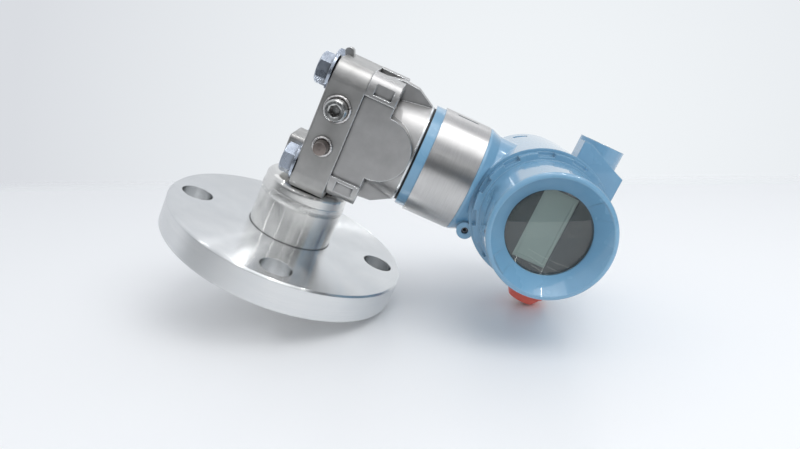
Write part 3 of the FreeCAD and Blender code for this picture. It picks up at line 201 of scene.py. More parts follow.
@dataclass(frozen=True)
class Finish:
    """What one real surface looks like, made into a material once."""

    name: str

    def material(self) -> bpy.types.Material:
        """Make the material, or give the one made before.

        Returns:
            The material with this finish's nodes.
        """
        label = f"{self.name}_finish"
        made = bpy.data.materials.get(label)
        if made is None:
            made = bpy.data.materials.new(label)
            made.use_nodes = True
            made.node_tree.nodes.clear()
            add = partial(add_node, made.node_tree)
            add("OutputMaterial", {"Surface": self.surface(add)})
        return made

    def surface(self, add: Adder) -> Socket:
        """Add this finish's nodes.

        Args:
            add: adds a node to the material.

        Returns:
            The shader that the surface shows.
        """
        raise NotImplementedError


@dataclass(frozen=True)
class TurnedSteel(Finish):
    """Stainless steel from the lathe, whose fine rings draw each highlight out across them."""

    tone: str = "#EEEFEF"
    shade: str = "#E3E5E6"
    # Edges lighten to this tone as a painted highlight.
    edge_tone: str = "#EDEFF0"
    # Painted shade: inner corners and gaps darken to this tone, as far out as the reach below.
    corner_shade_tone: str = "#56575A"
    corner_shade_reach: float = 1.4 * MM
    roughness: float = 0.24
    stretch: float = 1.0
    ring_pitch: float = 0.5 * MM
    ring_depth: float = 0.003 * MM
    smear_size: float = 14.0 * MM
    # At -1 m the ground weld seam lies clear of the part, so there is none.
    seam_height: float = -1.0
    seam_half_width: float = 2.6 * MM
    swirl_size: float = 2.4 * MM
    swirl_depth: float = 0.27 * MM

    def surface(self, add: Adder) -> Socket:
        """Add the turning rings, a painted highlight on the edges, painted shade in the corners and, on the
        hub, the ground weld seam.

        Args:
            add: adds a node to the material.

        Returns:
            The shader of the turned steel.
        """
        place = add("TexCoord", out="Object")
        distance, along = distance_from_line(add, place, Vector(), FLANGE_AXIS)
        # The real feed marks are about 0.1 mm apart, so they are drawn coarser to show at all.
        spot = add("CombineXYZ", {"X": distance, "Z": along})
        rings = add("TexNoise", {"Vector": spot, "Scale": 1.0 / self.ring_pitch, "Detail": 1.0})
        smears = add("TexNoise", {"Vector": place, "Scale": 1.0 / self.smear_size, "Detail": 4.0,
                                  "Roughness": 0.6})
        off_seam = add("Math", {0: along, 1: self.seam_height}, operation="SUBTRACT")
        gap = add("Math", {0: off_seam}, operation="ABSOLUTE")
        seam = add("MapRange", {"Value": gap, "From Min": self.seam_half_width * 1.3,
                                "From Max": self.seam_half_width * 0.8})
        # Grinding marks on the seam run every way.
        swirls = add("TexNoise", {"Vector": place, "Scale": 1.0 / self.swirl_size, "Detail": 2.0,
                                  "Distortion": 2.5})
        rounded, edge = edge_wear_and_highlight(add, radius=0.5 * MM, reach=0.12)
        mottle = add("Math", {0: rings, 1: smears}, operation="MULTIPLY")
        blend = add("MapRange", {"Value": mottle, "From Min": 0.12, "From Max": 0.36})
        colour = add("Mix", {0: blend, 6: srgb(self.shade), 7: srgb(self.tone)}, 2, data_type="RGBA")
        # Painted shade darkens the inner corners and gaps, and a painted highlight lightens the edges.
        clear = painted_corner_shade(add, self.corner_shade_reach)
        corner_shaded = add("Mix", {0: clear, 6: srgb(self.corner_shade_tone), 7: colour}, 2, data_type="RGBA")
        lit = add("Mix", {0: edge, 6: corner_shaded, 7: srgb(self.edge_tone)}, 2, data_type="RGBA")
        rough = add("MapRange", {"Value": smears, **NOISE_SPAN, "To Min": self.roughness - 0.02,
                                 "To Max": self.roughness + 0.02})
        swell = add("Math", {0: swirls, 1: self.swirl_depth / self.ring_depth}, operation="MULTIPLY")
        relief = add("Mix", {0: seam, 2: rings, 3: swell}, data_type="FLOAT")
        bump = add("Bump", {"Height": relief, "Strength": 1.0, "Distance": self.ring_depth,
                            "Normal": rounded})
        grain = add("Tangent", direction_type="RADIAL", axis=TurningAxis.FLANGE.value)
        return add("BsdfPrincipled", {
            "Base Color": lit, "Metallic": 1.0, "Roughness": rough, "Normal": bump, "Tangent": grain,
            "Anisotropic": self.stretch, "Anisotropic Rotation": 0.25})


@dataclass(frozen=True)
class BlastedSteel(Finish):
    """Cast stainless steel after bead blasting: an even matt grey grain, with edges rubbed smoother and
    lightened by a painted highlight.
    """

    tone: str = "#C0BFBD"
    shade: str = "#A8A7A5"
    # The turned end ring has this bright tone, and the edges take it as a painted highlight.
    edge_tone: str = "#E3E5E6"
    # Painted shade: inner corners and gaps darken to this tone, as far out as the reach below.
    corner_shade_tone: str = "#3A3A3B"
    corner_shade_reach: float = 2.5 * MM
    roughness: float = 0.44
    bright_roughness: float = 0.22
    bead_size: float = 0.45 * MM
    cloud_size: float = 16.0 * MM
    # The turned ring lies between these two places on X, which are equal where there is none.
    bright_from: float = 1.0
    bright_to: float = 1.0

    def surface(self, add: Adder) -> Socket:
        """Add the blasted grain, the cloudy tone, the edges rubbed smoother with a painted highlight, painted
        shade in the corners, and the turned end ring.

        Args:
            add: adds a node to the material.

        Returns:
            The shader of the blasted steel.
        """
        place = add("TexCoord", out="Object")
        grain = add("TexNoise", {"Vector": place, "Scale": 1.0 / self.bead_size, "Detail": 2.0})
        cloud = add("TexNoise", {"Vector": place, "Scale": 1.0 / self.cloud_size, "Detail": 4.0,
                                 "Roughness": 0.55})
        rounded, edge = edge_wear_and_highlight(add, radius=0.9 * MM, reach=0.16)
        colour = cloudy_tone(add, cloud, 0.2, self.shade, self.tone)
        along = add("SeparateXYZ", {"Vector": place}, "X")
        after = add("Math", {0: along, 1: self.bright_from}, operation="GREATER_THAN")
        before = add("Math", {0: along, 1: self.bright_to}, operation="LESS_THAN")
        ring = add("Math", {0: after, 1: before}, operation="MULTIPLY")
        # Painted shade darkens the inner corners and gaps. The edges outside them are rubbed smoother and get
        # a painted highlight, and the turned ring is bright, smooth metal.
        clear = painted_corner_shade(add, self.corner_shade_reach)
        standing = add("Math", {0: edge, 1: clear}, operation="MULTIPLY")
        bright = add("Math", {0: standing, 1: ring}, operation="MAXIMUM")
        shaded_corners = add("Mix", {0: clear, 6: srgb(self.corner_shade_tone), 7: colour}, 2, data_type="RGBA")
        lit = add("Mix", {0: bright, 6: shaded_corners, 7: srgb(self.edge_tone)}, 2, data_type="RGBA")
        rough = add("MapRange", {"Value": bright, "To Min": self.roughness, "To Max": self.bright_roughness})
        bump = add("Bump", {"Height": grain, "Strength": 0.35, "Distance": 0.06 * MM, "Normal": rounded})
        return add("BsdfPrincipled", {"Base Color": lit, "Metallic": 1.0, "Roughness": rough, "Normal": bump})


@dataclass(frozen=True)
class MachinedSteel(Finish):
    """Small machined or plated steel: a bright even sheen, cloudy where the plating lies uneven."""

    tone: str = "#D2D2D0"
    shade: str = "#A8A8A7"
    # Edges lighten to this tone as a painted highlight.
    edge_tone: str = "#F0F0EE"
    # Painted shade: inner corners and gaps darken to this tone, as far out as the reach below.
    corner_shade_tone: str = "#3C3633"
    corner_shade_reach: float = 3.0 * MM
    roughness: float = 0.2
    cloud_size: float = 3.0 * MM
    ripple: float = 0.15

    def surface(self, add: Adder) -> Socket:
        """Add the cloudy tone, a slight waviness, a painted highlight on the edges and painted shade in the
        corners.

        Args:
            add: adds a node to the material.

        Returns:
            The shader of the machined steel.
        """
        place = add("TexCoord", out="Object")
        cloud = add("TexNoise", {"Vector": place, "Scale": 1.0 / self.cloud_size, "Detail": 3.0,
                                 "Distortion": 0.6})
        rounded, edge = edge_wear_and_highlight(add, radius=0.35 * MM, reach=0.15)
        colour = cloudy_tone(add, cloud, 0.18, self.shade, self.tone)
        # Painted shade darkens the inner corners, gaps and sockets, and a painted highlight lightens the
        # edges.
        clear = painted_corner_shade(add, self.corner_shade_reach)
        corner_shaded = add("Mix", {0: clear, 6: srgb(self.corner_shade_tone), 7: colour}, 2, data_type="RGBA")
        lit = add("Mix", {0: edge, 6: corner_shaded, 7: srgb(self.edge_tone)}, 2, data_type="RGBA")
        rough = add("MapRange", {"Value": cloud, **NOISE_SPAN, "To Min": self.roughness - 0.04,
                                 "To Max": self.roughness + 0.08})
        bump = add("Bump", {"Height": cloud, "Strength": self.ripple, "Distance": 0.2 * MM,
                            "Normal": rounded})
        return add("BsdfPrincipled", {"Base Color": lit, "Metallic": 1.0, "Roughness": rough, "Normal": bump})


@dataclass(frozen=True)
class NameplateSteel(Finish):
    """Thin stainless strip brushed round the neck, so its reflections stay sharp round it and blur along."""

    tone: str = "#D6D5D4"
    shade: str = "#C0BEBC"
    roughness: float = 0.32
    brush_pitch: float = 0.35 * MM
    cloud_size: float = 9.0 * MM

    def surface(self, add: Adder) -> Socket:
        """Add the brushing of the bare plate.

        Args:
            add: adds a node to the material.

        Returns:
            The shader of the nameplate strip.
        """
        place = add("TexCoord", out="Object")
        around = add("Mapping", {"Vector": place, "Scale": (1.0, 0.04, 0.04)})
        # Brush lines are nearer 0.05 mm apart, and are drawn coarser to show.
        brush = add("TexNoise", {"Vector": around, "Scale": 1.0 / self.brush_pitch, "Detail": 3.0})
        cloud = add("TexNoise", {"Vector": place, "Scale": 1.0 / self.cloud_size, "Detail": 3.0})
        colour = add("Mix", {0: brush, 6: srgb(self.shade), 7: srgb(self.tone)}, 2, data_type="RGBA")
        rough = add("MapRange", {"Value": cloud, **NOISE_SPAN, "To Min": self.roughness - 0.04,
                                 "To Max": self.roughness + 0.05})
        bump = add("Bump", {"Height": brush, "Strength": 0.06, "Distance": 0.05 * MM})
        grain = add("Tangent", direction_type="RADIAL", axis=TurningAxis.NECK.value)
        return add("BsdfPrincipled", {
            "Base Color": colour, "Metallic": 1.0, "Roughness": rough, "Normal": bump, "Tangent": grain,
            "Anisotropic": 0.6, "Anisotropic Rotation": 0.25})


@dataclass(frozen=True)
class Enamel(Finish):
    """Gloss enamel on die-cast aluminium: a clear coat over faint orange peel, bare where threads are cut."""

    tone: str = "#76A5C4"
    shade: str = "#6D9BBB"
    # Edges lighten towards this tone as a painted highlight.
    edge_tone: str = "#A9C6DA"
    bare_tone: str = "#B9BBBD"
    highlight_share: float = 0.3
    peel_size: float = 1.6 * MM
    cloud_size: float = 25.0 * MM
    bare_inner: float = 34.2 * MM
    bare_outer: float = 35.2 * MM
    bare_reach: float = 29.9 * MM
    bare_bore: float = 10.4 * MM

    def surface(self, add: Adder) -> Socket:
        """Add the paint, its orange peel, a painted highlight on its edges, and bare metal on the threads.

        Args:
            add: adds a node to the material.

        Returns:
            The shader of the painted casting.
        """
        place = add("TexCoord", out="Object")
        peel = add("TexNoise", {"Vector": place, "Scale": 1.0 / self.peel_size, "Detail": 1.0})
        cloud = add("TexNoise", {"Vector": place, "Scale": 1.0 / self.cloud_size, "Detail": 3.0})
        rounded, edge = edge_wear_and_highlight(add, radius=1.1 * MM, reach=0.2)
        bare = self.threads(add, place)
        paint = cloudy_tone(add, cloud, 0.2, self.shade, self.tone)
        # A painted highlight lightens the edges.
        thin = add("Math", {0: edge, 1: self.highlight_share}, operation="MULTIPLY")
        edged = add("Mix", {0: thin, 6: paint, 7: srgb(self.edge_tone)}, 2, data_type="RGBA")
        colour = add("Mix", {0: bare, 6: edged, 7: srgb(self.bare_tone)}, 2, data_type="RGBA")
        rough = add("MapRange", {"Value": cloud, **NOISE_SPAN, "To Min": 0.22, "To Max": 0.3})
        coat = add("MapRange", {"Value": bare, "To Min": 1.0, "To Max": 0.0})
        bump = add("Bump", {"Height": peel, "Strength": 0.08, "Distance": 0.1 * MM, "Normal": rounded})
        return add("BsdfPrincipled", {
            "Base Color": colour, "Metallic": bare, "Roughness": rough, "Normal": bump, "IOR": 1.5,
            "Coat Weight": coat, "Coat Roughness": 0.03})

    def threads(self, add: Adder, place: Socket) -> Socket:
        """Find the barrel's and the conduit's threads, which are cut after painting.

        Args:
            add: adds a node to the material.
            place: the surface's place in the part's frame.

        Returns:
            A mask that is 1 on bare metal.
        """
        distance, along = distance_from_line(add, place, BARREL_CENTRE, BARREL_AXIS)
        middle, half = (self.bare_inner + self.bare_outer) / 2.0, (self.bare_outer - self.bare_inner) / 2.0
        off = add("Math", {0: distance, 1: middle}, operation="SUBTRACT")
        off_ring = add("Math", {0: off}, operation="ABSOLUTE")
        thread = add("Math", {0: off_ring, 1: half}, operation="LESS_THAN")
        span = add("Math", {0: along}, operation="ABSOLUTE")
        inside = add("Math", {0: span, 1: self.bare_reach}, operation="LESS_THAN")
        cut = add("Math", {0: thread, 1: inside}, operation="MULTIPLY")
        bore_off, _ = distance_from_line(add, place, CONDUIT_CENTRE, CONDUIT_AXIS)
        bore = add("Math", {0: bore_off, 1: self.bare_bore}, operation="LESS_THAN")
        return add("Math", {0: cut, 1: bore}, operation="MAXIMUM")


@dataclass(frozen=True)
class Moulded(Finish):
    """Moulded plastic or rubber: an even colour under the fine grain of its mould."""

    tone: str = "#1B1C1E"
    shade: str = "#151617"
    roughness: float = 0.5
    grain_size: float = 0.5 * MM
    cloud_size: float = 7.0 * MM
    relief: float = 0.2
    glow: float = 0.0

    def surface(self, add: Adder) -> Socket:
        """Add the mould's grain and a faint unevenness of colour.

        Args:
            add: adds a node to the material.

        Returns:
            The shader of the moulded piece.
        """
        place = add("TexCoord", out="Object")
        grain = add("TexNoise", {"Vector": place, "Scale": 1.0 / self.grain_size, "Detail": 2.0})
        cloud = add("TexNoise", {"Vector": place, "Scale": 1.0 / self.cloud_size, "Detail": 3.0})
        colour = add("Mix", {0: cloud, 6: srgb(self.shade), 7: srgb(self.tone)}, 2, data_type="RGBA")
        rough = add("MapRange", {"Value": grain, **NOISE_SPAN, "To Min": self.roughness - 0.05,
                                 "To Max": self.roughness + 0.07})
        rounded, _ = edge_wear_and_highlight(add, radius=0.35 * MM, reach=0.2)
        bump = add("Bump", {"Height": grain, "Strength": self.relief, "Distance": 0.05 * MM,
                            "Normal": rounded})
        return add("BsdfPrincipled", {
            "Base Color": colour, "Roughness": rough, "Normal": bump, "IOR": 1.5,
            "Subsurface Weight": self.glow, "Subsurface Radius": (2.0 * MM, 0.8 * MM, 0.6 * MM),
            "Subsurface Scale": 1.0})


@dataclass(frozen=True)
class CircuitBoard(Finish):
    """Glass-fibre board under green solder mask, with copper runs that show through as lighter lines."""

    mask: str = "#1F5B3A"
    run: str = "#2F7A4E"
    run_pitch: float = 2.2 * MM

    def surface(self, add: Adder) -> Socket:
        """Add the solder mask and its copper runs.

        Args:
            add: adds a node to the material.

        Returns:
            The shader of the board.
        """
        place = add("TexCoord", out="Object")
        cells = add("TexVoronoi", {"Vector": place, "Scale": 1.0 / self.run_pitch}, "Distance",
                    distance="CHEBYCHEV", feature="F1")
        runs = add("MapRange", {"Value": cells, "From Min": 0.42, "From Max": 0.5})
        colour = add("Mix", {0: runs, 6: srgb(self.mask), 7: srgb(self.run)}, 2, data_type="RGBA")
        bump = add("Bump", {"Height": runs, "Strength": 0.2, "Distance": 0.05 * MM})
        return add("BsdfPrincipled", {"Base Color": colour, "Roughness": 0.32, "Normal": bump})


@dataclass(frozen=True)
class LcdFilm(Finish):
    """Unlit liquid-crystal cell: a grey-green reflector under a polariser, a little uneven in tone."""

    tone: str = "#A8BBB7"
    shade: str = "#9AADA9"
    cloud_size: float = 30.0 * MM
    fleck_size: float = 0.4 * MM

    def surface(self, add: Adder) -> Socket:
        """Add the reflector's tone under its smooth polariser.

        Args:
            add: adds a node to the material.

        Returns:
            The shader of the display.
        """
        place = add("TexCoord", out="Object")
        cloud = add("TexNoise", {"Vector": place, "Scale": 1.0 / self.cloud_size, "Detail": 1.0})
        fleck = add("TexNoise", {"Vector": place, "Scale": 1.0 / self.fleck_size})
        colour = add("Mix", {0: cloud, 6: srgb(self.shade), 7: srgb(self.tone)}, 2, data_type="RGBA")
        rough = add("MapRange", {"Value": fleck, "To Min": 0.06, "To Max": 0.12})
        # The cell's stacked films together throw back about a tenth of the light.
        return add("BsdfPrincipled", {"Base Color": colour, "Roughness": rough, "IOR": 1.9})


@dataclass(frozen=True)
class ClearGlass(Finish):
    """Toughened float glass: clear with a faint green cast, and sharp reflections on its face."""

    tint: str = "#E9F0EE"

    def surface(self, add: Adder) -> Socket:
        """Add clear glass that lets lamp light through to what lies behind it.

        Args:
            add: adds a node to the material.

        Returns:
            The shader of the window.
        """
        # Float glass has 1.52, and a little more matches how strongly this pane mirrors the table.
        glass = add("BsdfPrincipled", {"Base Color": srgb(self.tint), "Roughness": 0.0, "IOR": 1.62,
                                       "Transmission Weight": 1.0})
        clear = add("BsdfTransparent", {"Color": srgb(self.tint)})
        shadow = add("LightPath", out="Is Shadow Ray")
        return add("MixShader", {0: shadow, 1: glass, 2: clear})


@dataclass(frozen=True)
class WhiteLaminate(Finish):
    """White laminate table top, which fades out at its long edges and can be seen through from below."""

    tone: str = "#F2F3F4"
    depth: float = 1.04
    far_fade: float = 0.09
    near_fade: float = 0.03

    def surface(self, add: Adder) -> Socket:
        """Add the laminate and its fading edges.

        Args:
            add: adds a node to the material.

        Returns:
            The shader of the table.
        """
        place = add("TexCoord", out="Object")
        run = add("SeparateXYZ", {"Vector": place}, "Y")
        half = self.depth / 2.0
        far = add("MapRange", {"Value": run, "From Min": half - self.far_fade, "From Max": half},
                  interpolation_type="SMOOTHSTEP")
        near = add("MapRange", {"Value": run, "From Min": self.near_fade - half, "From Max": -half},
                   interpolation_type="SMOOTHSTEP")
        edge = add("Math", {0: far, 1: near}, operation="MAXIMUM")
        below = add("NewGeometry", out="Backfacing")
        gone = add("Math", {0: edge, 1: below}, operation="MAXIMUM")
        white = add("BsdfPrincipled", {"Base Color": srgb(self.tone), "Roughness": 0.32, "IOR": 1.45})
        clear = add("BsdfTransparent")
        return add("MixShader", {0: gone, 1: white, 2: clear})


TURNED = TurnedSteel("turned_stainless")
# The hub is smoother, with a matt ring where its weld was ground off.
HUB_STEEL = TurnedSteel("turned_hub_stainless", tone="#EFEEEB", shade="#E2E1DE", roughness=0.2,
                        seam_height=42.9 * MM)
BLASTED_BLOCK = BlastedSteel("blasted_stainless_block")
BLASTED_MODULE = BlastedSteel("blasted_stainless_module", tone="#C6C5C4", shade="#B1B0AF",
                              bright_from=50.2 * MM, bright_to=52.0 * MM)
# Cut and rolled steel shows clear reflections, slightly clouded.
MACHINED = MachinedSteel("machined_stainless")
ROLLED = MachinedSteel("rolled_stainless", roughness=0.25)
# Weld metal froze in small waves, so it glitters.
WELD = MachinedSteel("weld_metal", tone="#F4F2F0", shade="#D5D1CF", roughness=0.28, ripple=0.5,
                     cloud_size=1.4 * MM)
# Welding heat left the cap dull and a little brown.
CAP_STEEL = MachinedSteel("tinted_cap_stainless", tone="#9A908B", shade="#8B817C", edge_tone="#C9C2BE",
                          roughness=0.42, ripple=0.04)
# Passivated zinc has a cool blue cast and an even sheen.
ZINC = MachinedSteel("blue_zinc_plate", tone="#B4BCC8", shade="#A9B1BE", edge_tone="#D5DEE7", roughness=0.26,
                     cloud_size=5.0 * MM, ripple=0.02)
# Brass gives a warm yellow gleam.
BRASS = MachinedSteel("brass", tone="#D2B36A", shade="#B8964F", edge_tone="#E8D39A", roughness=0.22)
# The brushed strip carries a bright line along the neck.
NAMEPLATE = NameplateSteel("brushed_nameplate_stainless")
# Thick gloss paint mirrors the room over its blue.
ENAMEL = Enamel("blue_enamel")
# Nitrile rubber is black and nearly matt.
RUBBER = Moulded("nitrile_rubber")
# Light sinks a little into polyethylene, so its shaded side glows.
RED_PLASTIC = Moulded("red_polyethylene", tone="#F27666", shade="#EA6656", roughness=0.36, glow=0.15)
# Grained ABS stays dark, and smooth polycarbonate catches the window's light.
DARK_PLASTIC = Moulded("dark_abs", tone="#2A333A", shade="#252D33", roughness=0.45, grain_size=0.3 * MM)
BEZEL_PLASTIC = Moulded("gloss_polycarbonate", tone="#20303C", shade="#1C2A35", roughness=0.3, relief=0.05)
# Fluoropolymer looks waxy white, and the jacket and the potting are matt.
WHITE_PLASTIC = Moulded("white_fluoropolymer", tone="#E4E4DF", shade="#D8D8D2", roughness=0.45)
CABLE_JACKET = Moulded("flat_cable_jacket", tone="#C4BFB0", shade="#B5B0A2", roughness=0.5)
POTTING = Moulded("black_potting", tone="#202224", shade="#191B1C", roughness=0.6)
BOARD = CircuitBoard("solder_masked_board")
# The unlit cell is a pale grey green with a faint mirror on top.
LCD = LcdFilm("liquid_crystal_cell")
# Clear glass shows the display under a reflection of the table.
GLASS = ClearGlass("toughened_glass")
# Laminate is bright and softly glossy.
LAMINATE = WhiteLaminate("white_laminate")


def dress(finish: Finish, *names: str) -> None:
    """Give CAD nodes a finish.

    Args:
        finish: the finish to show.
        names: the nodes that get it.
    """
    for name in names:
        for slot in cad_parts[name].material_slots:
            slot.material = finish.material()
        log.info("%s is dressed in %s", name, finish.name)


def begin_piece() -> None:
    """Let go of everything, so that an operator touches only the new piece."""
    bpy.ops.object.select_all(action="DESELECT")


def select_parts(piece: Piece, wanted: Callable[[Vector], bool], faces: bool = False) -> None:
    """Select points by their place, or faces by their normal, in edit mode.

    Args:
        piece: the mesh object in edit mode.
        wanted: tells whether a point at this place, or a face with this normal, is selected.
        faces: whether faces are selected and not points.
    """
    mesh = bmesh.from_edit_mesh(piece.data)
    mesh.select_mode = {"FACE" if faces else "VERT"}
    for part in mesh.faces if faces else mesh.verts:
        part.select_set(wanted(part.normal if faces else part.co))
    mesh.select_flush_mode()
    bmesh.update_edit_mesh(piece.data)


def apply_modifier(piece: Piece, kind: str, **settings: object) -> None:
    """Add one modifier and apply it.

    Args:
        piece: the active mesh object.
        kind: Blender's type name of the modifier.
        settings: the modifier's own properties.
    """
    modifier = piece.modifiers.new(kind.lower(), kind)
    for name, value in settings.items():
        setattr(modifier, name, value)
    bpy.ops.object.modifier_apply(modifier=modifier.name)


def join_pieces(pieces: list[Piece]) -> Piece:
    """Join meshes into the first of them.

    Args:
        pieces: the mesh objects.

    Returns:
        The first piece, which holds them all.
    """
    begin_piece()
    for piece in pieces:
        piece.select_set(True)
    bpy.context.view_layer.objects.active = pieces[0]
    bpy.ops.object.join()
    return pieces[0]


def end_piece(piece: Piece, name: str, body: Body, finishes: list[Finish],
              crease: float = 40.0) -> None:
    """Clean a finished mesh, dress it and let it ride on its body.

    Args:
        piece: the active mesh object, in object mode.
        name: the piece's name.
        body: the body that carries it.
        finishes: its finishes, in the order of its material slots.
        crease: edges sharper than this many degrees stay sharp.
    """
    bpy.ops.object.transform_apply(location=True, rotation=True, scale=True)
    bpy.ops.object.mode_set(mode="EDIT")
    bpy.ops.mesh.select_all(action="SELECT")
    bpy.ops.mesh.remove_doubles(threshold=0.002 * MM)
    bpy.ops.mesh.normals_make_consistent(inside=False)
    bpy.ops.object.mode_set(mode="OBJECT")
    bpy.ops.object.shade_smooth_by_angle(angle=math.radians(crease))
    piece.name = name
    piece.data.name = name
    for finish in finishes:
        piece.data.materials.append(finish.material())
    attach(piece, body.value)
    log.info("%s has %d faces and rides on %s", name, len(piece.data.polygons), body.value)


@dataclass
class Thread:
    """A screw thread, cut as one ridge that winds up its axis."""

    name: str
    body: Body
    finish: Finish
    slot: str
    root: float
    crest: float
    pitch: float
    turns: int
    steps: int = 48
    # Half the width of the ridge's foot, as a share of the pitch.
    flank: float = 0.42

    def build(self, turned: Matrix) -> None:
        """Wind the ridge from its start.

        Args:
            turned: where the thread's start and axis lie in the part's frame.
        """
        begin_piece()
        bpy.ops.mesh.primitive_circle_add(vertices=3, radius=1.0, fill_type="NOTHING")
        ridge = bpy.context.object
        foot = self.flank * self.pitch
        corners = ((self.crest, 0.0, 0.0), (self.root, 0.0, foot), (self.root, 0.0, -foot))
        bpy.ops.object.mode_set(mode="EDIT")
        mesh = bmesh.from_edit_mesh(ridge.data)
        for vert, corner in zip(mesh.verts, corners):
            vert.co = corner
        bmesh.update_edit_mesh(ridge.data)
        bpy.ops.object.mode_set(mode="OBJECT")
        apply_modifier(ridge, "SCREW", axis="Z", angle=math.tau, screw_offset=self.pitch,
                       iterations=self.turns, steps=self.steps, render_steps=self.steps,
                       use_merge_vertices=True, merge_threshold=0.001 * MM)
        bpy.ops.object.mode_set(mode="EDIT")
        bpy.ops.mesh.select_mode(type="VERT")
        bpy.ops.mesh.select_all(action="DESELECT")
        bpy.ops.mesh.select_non_manifold()
        bpy.ops.mesh.fill()
        bpy.ops.object.mode_set(mode="OBJECT")
        ridge.matrix_world = turned
        end_piece(ridge, self.name, self.body, [self.finish], crease=50.0)


@dataclass
class SealFlange:
    """The loose flange, the seal hub inside it and the thin diaphragm at the gasket face."""

    bead_radius: float = 2.79 * MM
    bead_proud: float = 0.99 * MM
    bead_span: float = 24.0 * MM
    end_taper: float = 0.55
    ripples: int = 17
    ripple_height: float = 0.16 * MM
    ripple_stray: float = 0.05 * MM
    ripple_phase: float = 2.3
    block_left: float = -7.6 * MM
    block_right: float = 13.2 * MM
    hub_top: float = AXIS_HEIGHT - 42.0 * MM

    def build(self) -> None:
        """Lay the two rippled fillet welds between the hub and the block."""
        weld = join_pieces([self.bead(self.block_left - self.bead_proud),
                            self.bead(self.block_right + self.bead_proud)])
        end_piece(weld, "hub_fillet_weld", Body.BASE, [WELD], crease=60.0)
        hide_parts("hub_weld")

    def bead(self, place: float) -> Piece:
        """Lay one bead along the foot of the block.

        Args:
            place: where the bead's middle lies on X.

        Returns:
            The bead, not yet dressed.
        """
        begin_piece()
        half, pitch = self.bead_span / 2.0, self.bead_span / self.ripples
        middle = (place, 0.0, self.hub_top + self.bead_proud)
        bpy.ops.mesh.primitive_cylinder_add(vertices=20, radius=self.bead_radius, depth=self.bead_span,
                                            end_fill_type="NGON", location=middle,
                                            rotation=(math.pi / 2.0, 0.0, 0.0))
        bead = bpy.context.object
        bpy.ops.object.transform_apply(location=True, rotation=True, scale=True)
        bpy.ops.object.mode_set(mode="EDIT")
        steps = 3 * self.ripples
        for step in range(1, steps):
            bpy.ops.mesh.select_all(action="SELECT")
            bpy.ops.mesh.bisect(plane_co=(0.0, -half + step * self.bead_span / steps, 0.0),
                                plane_no=(0.0, 1.0, 0.0))
        # Each ripple has three rings of points, and the second one swells.
        for ripple in range(self.ripples):
            crown = -half + (ripple + 2.0 / 3.0) * pitch
            select_parts(bead, lambda point, crown=crown: abs(point.y - crown) < pitch / 6.0)
            swell = self.ripple_height + self.ripple_stray * math.sin(self.ripple_phase * ripple)
            bpy.ops.transform.shrink_fatten(value=swell)
        for end in (-half, half):
            select_parts(bead, lambda point, end=end: abs(point.y - end) < pitch / 6.0)
            bpy.ops.transform.resize(value=(self.end_taper, 1.0, self.end_taper),
                                     center_override=(middle[0], end, middle[2]))
        bpy.ops.object.mode_set(mode="OBJECT")
        apply_modifier(bead, "SUBSURF", levels=1, render_levels=1)
        return bead

    def dress(self) -> None:
        """Dress the flange, the hub and the diaphragm."""
        dress(TURNED, "process_flange")
        dress(HUB_STEEL, "seal_hub")
        dress(ROLLED, "isolating_diaphragm")


@dataclass
class ProcessBlock:
    """The block that carries the hub below, the two fill ports in front and the corner bolts."""

    face: float = -34.0 * MM
    bead_section: float = 1.25 * MM
    bead_offset: float = 0.4375 * MM
    ripples: int = 22
    ripple_height: float = 0.14 * MM
    ripple_stray: float = 0.1 * MM
    ripple_phase: float = 1.7
    plug_radius: float = 6.25 * MM
    cap_radius: float = 4.3 * MM

    def build(self) -> None:
        """Lay a rippled ring of weld round each fill port."""
        beads = join_pieces([self.ring("fill_port_plug", self.plug_radius, 0.0),
                             self.ring("fill_port_cap", self.cap_radius, 1.0)])
        end_piece(beads, "port_ring_welds", Body.BASE, [WELD], crease=60.0)
        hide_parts("port_weld_beads")

    def ring(self, port: str, radius: float, shift: float) -> Piece:
        """Lay one ring of weld.

        Args:
            port: the node that the weld runs round.
            radius: the node's radius where it leaves the block.
            shift: moves the unevenness round, so that no two rings are alike.

        Returns:
            The ring, not yet dressed.
        """
        low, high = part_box(port)
        centre = Vector(((low.x + high.x) / 2.0, self.face, (low.z + high.z) / 2.0))
        begin_piece()
        bpy.ops.mesh.primitive_torus_add(major_segments=3 * self.ripples, minor_segments=12, location=centre,
                                         rotation=(math.pi / 2.0, 0.0, 0.0),
                                         major_radius=radius + self.bead_offset,
                                         minor_radius=self.bead_section)
        ring = bpy.context.object
        bpy.ops.object.transform_apply(location=True, rotation=True, scale=True)
        bpy.ops.object.mode_set(mode="EDIT")
        pitch = math.tau / self.ripples
        # Each ripple has three rings of points, and the first one swells.
        for ripple in range(self.ripples):
            crown = -math.pi + (ripple + 1.0 / 3.0) * pitch
            select_parts(ring, lambda point, crown=crown: abs(math.remainder(
                math.atan2(point.z - centre.z, point.x - centre.x) - crown, math.tau)) < pitch / 6.0)
            swell = self.ripple_height + self.ripple_stray * math.sin(self.ripple_phase * ripple + shift)
            bpy.ops.transform.shrink_fatten(value=swell)
        bpy.ops.object.mode_set(mode="OBJECT")
        apply_modifier(ring, "SUBSURF", levels=1, render_levels=1)
        return ring

    def dress(self) -> None:
        """Dress the block and what is fixed to it."""
        dress(BLASTED_BLOCK, "process_block")
        dress(ZINC, "block_bolts", "bolt_washers")
        dress(MACHINED, "fill_port_plug")
        dress(CAP_STEEL, "fill_port_cap")
        dress(ROLLED, "isolator_diaphragms")
        dress(WHITE_PLASTIC, "process_seal_rings")


@dataclass
class SensorModule:
    """The cast module with its capsule, and the gasket against the housing."""

    def dress(self) -> None:
        """Dress the module and what it holds."""
        dress(BLASTED_MODULE, "sensor_module")
        dress(MACHINED, "sensor_capsule")
        dress(RUBBER, "neck_gasket")


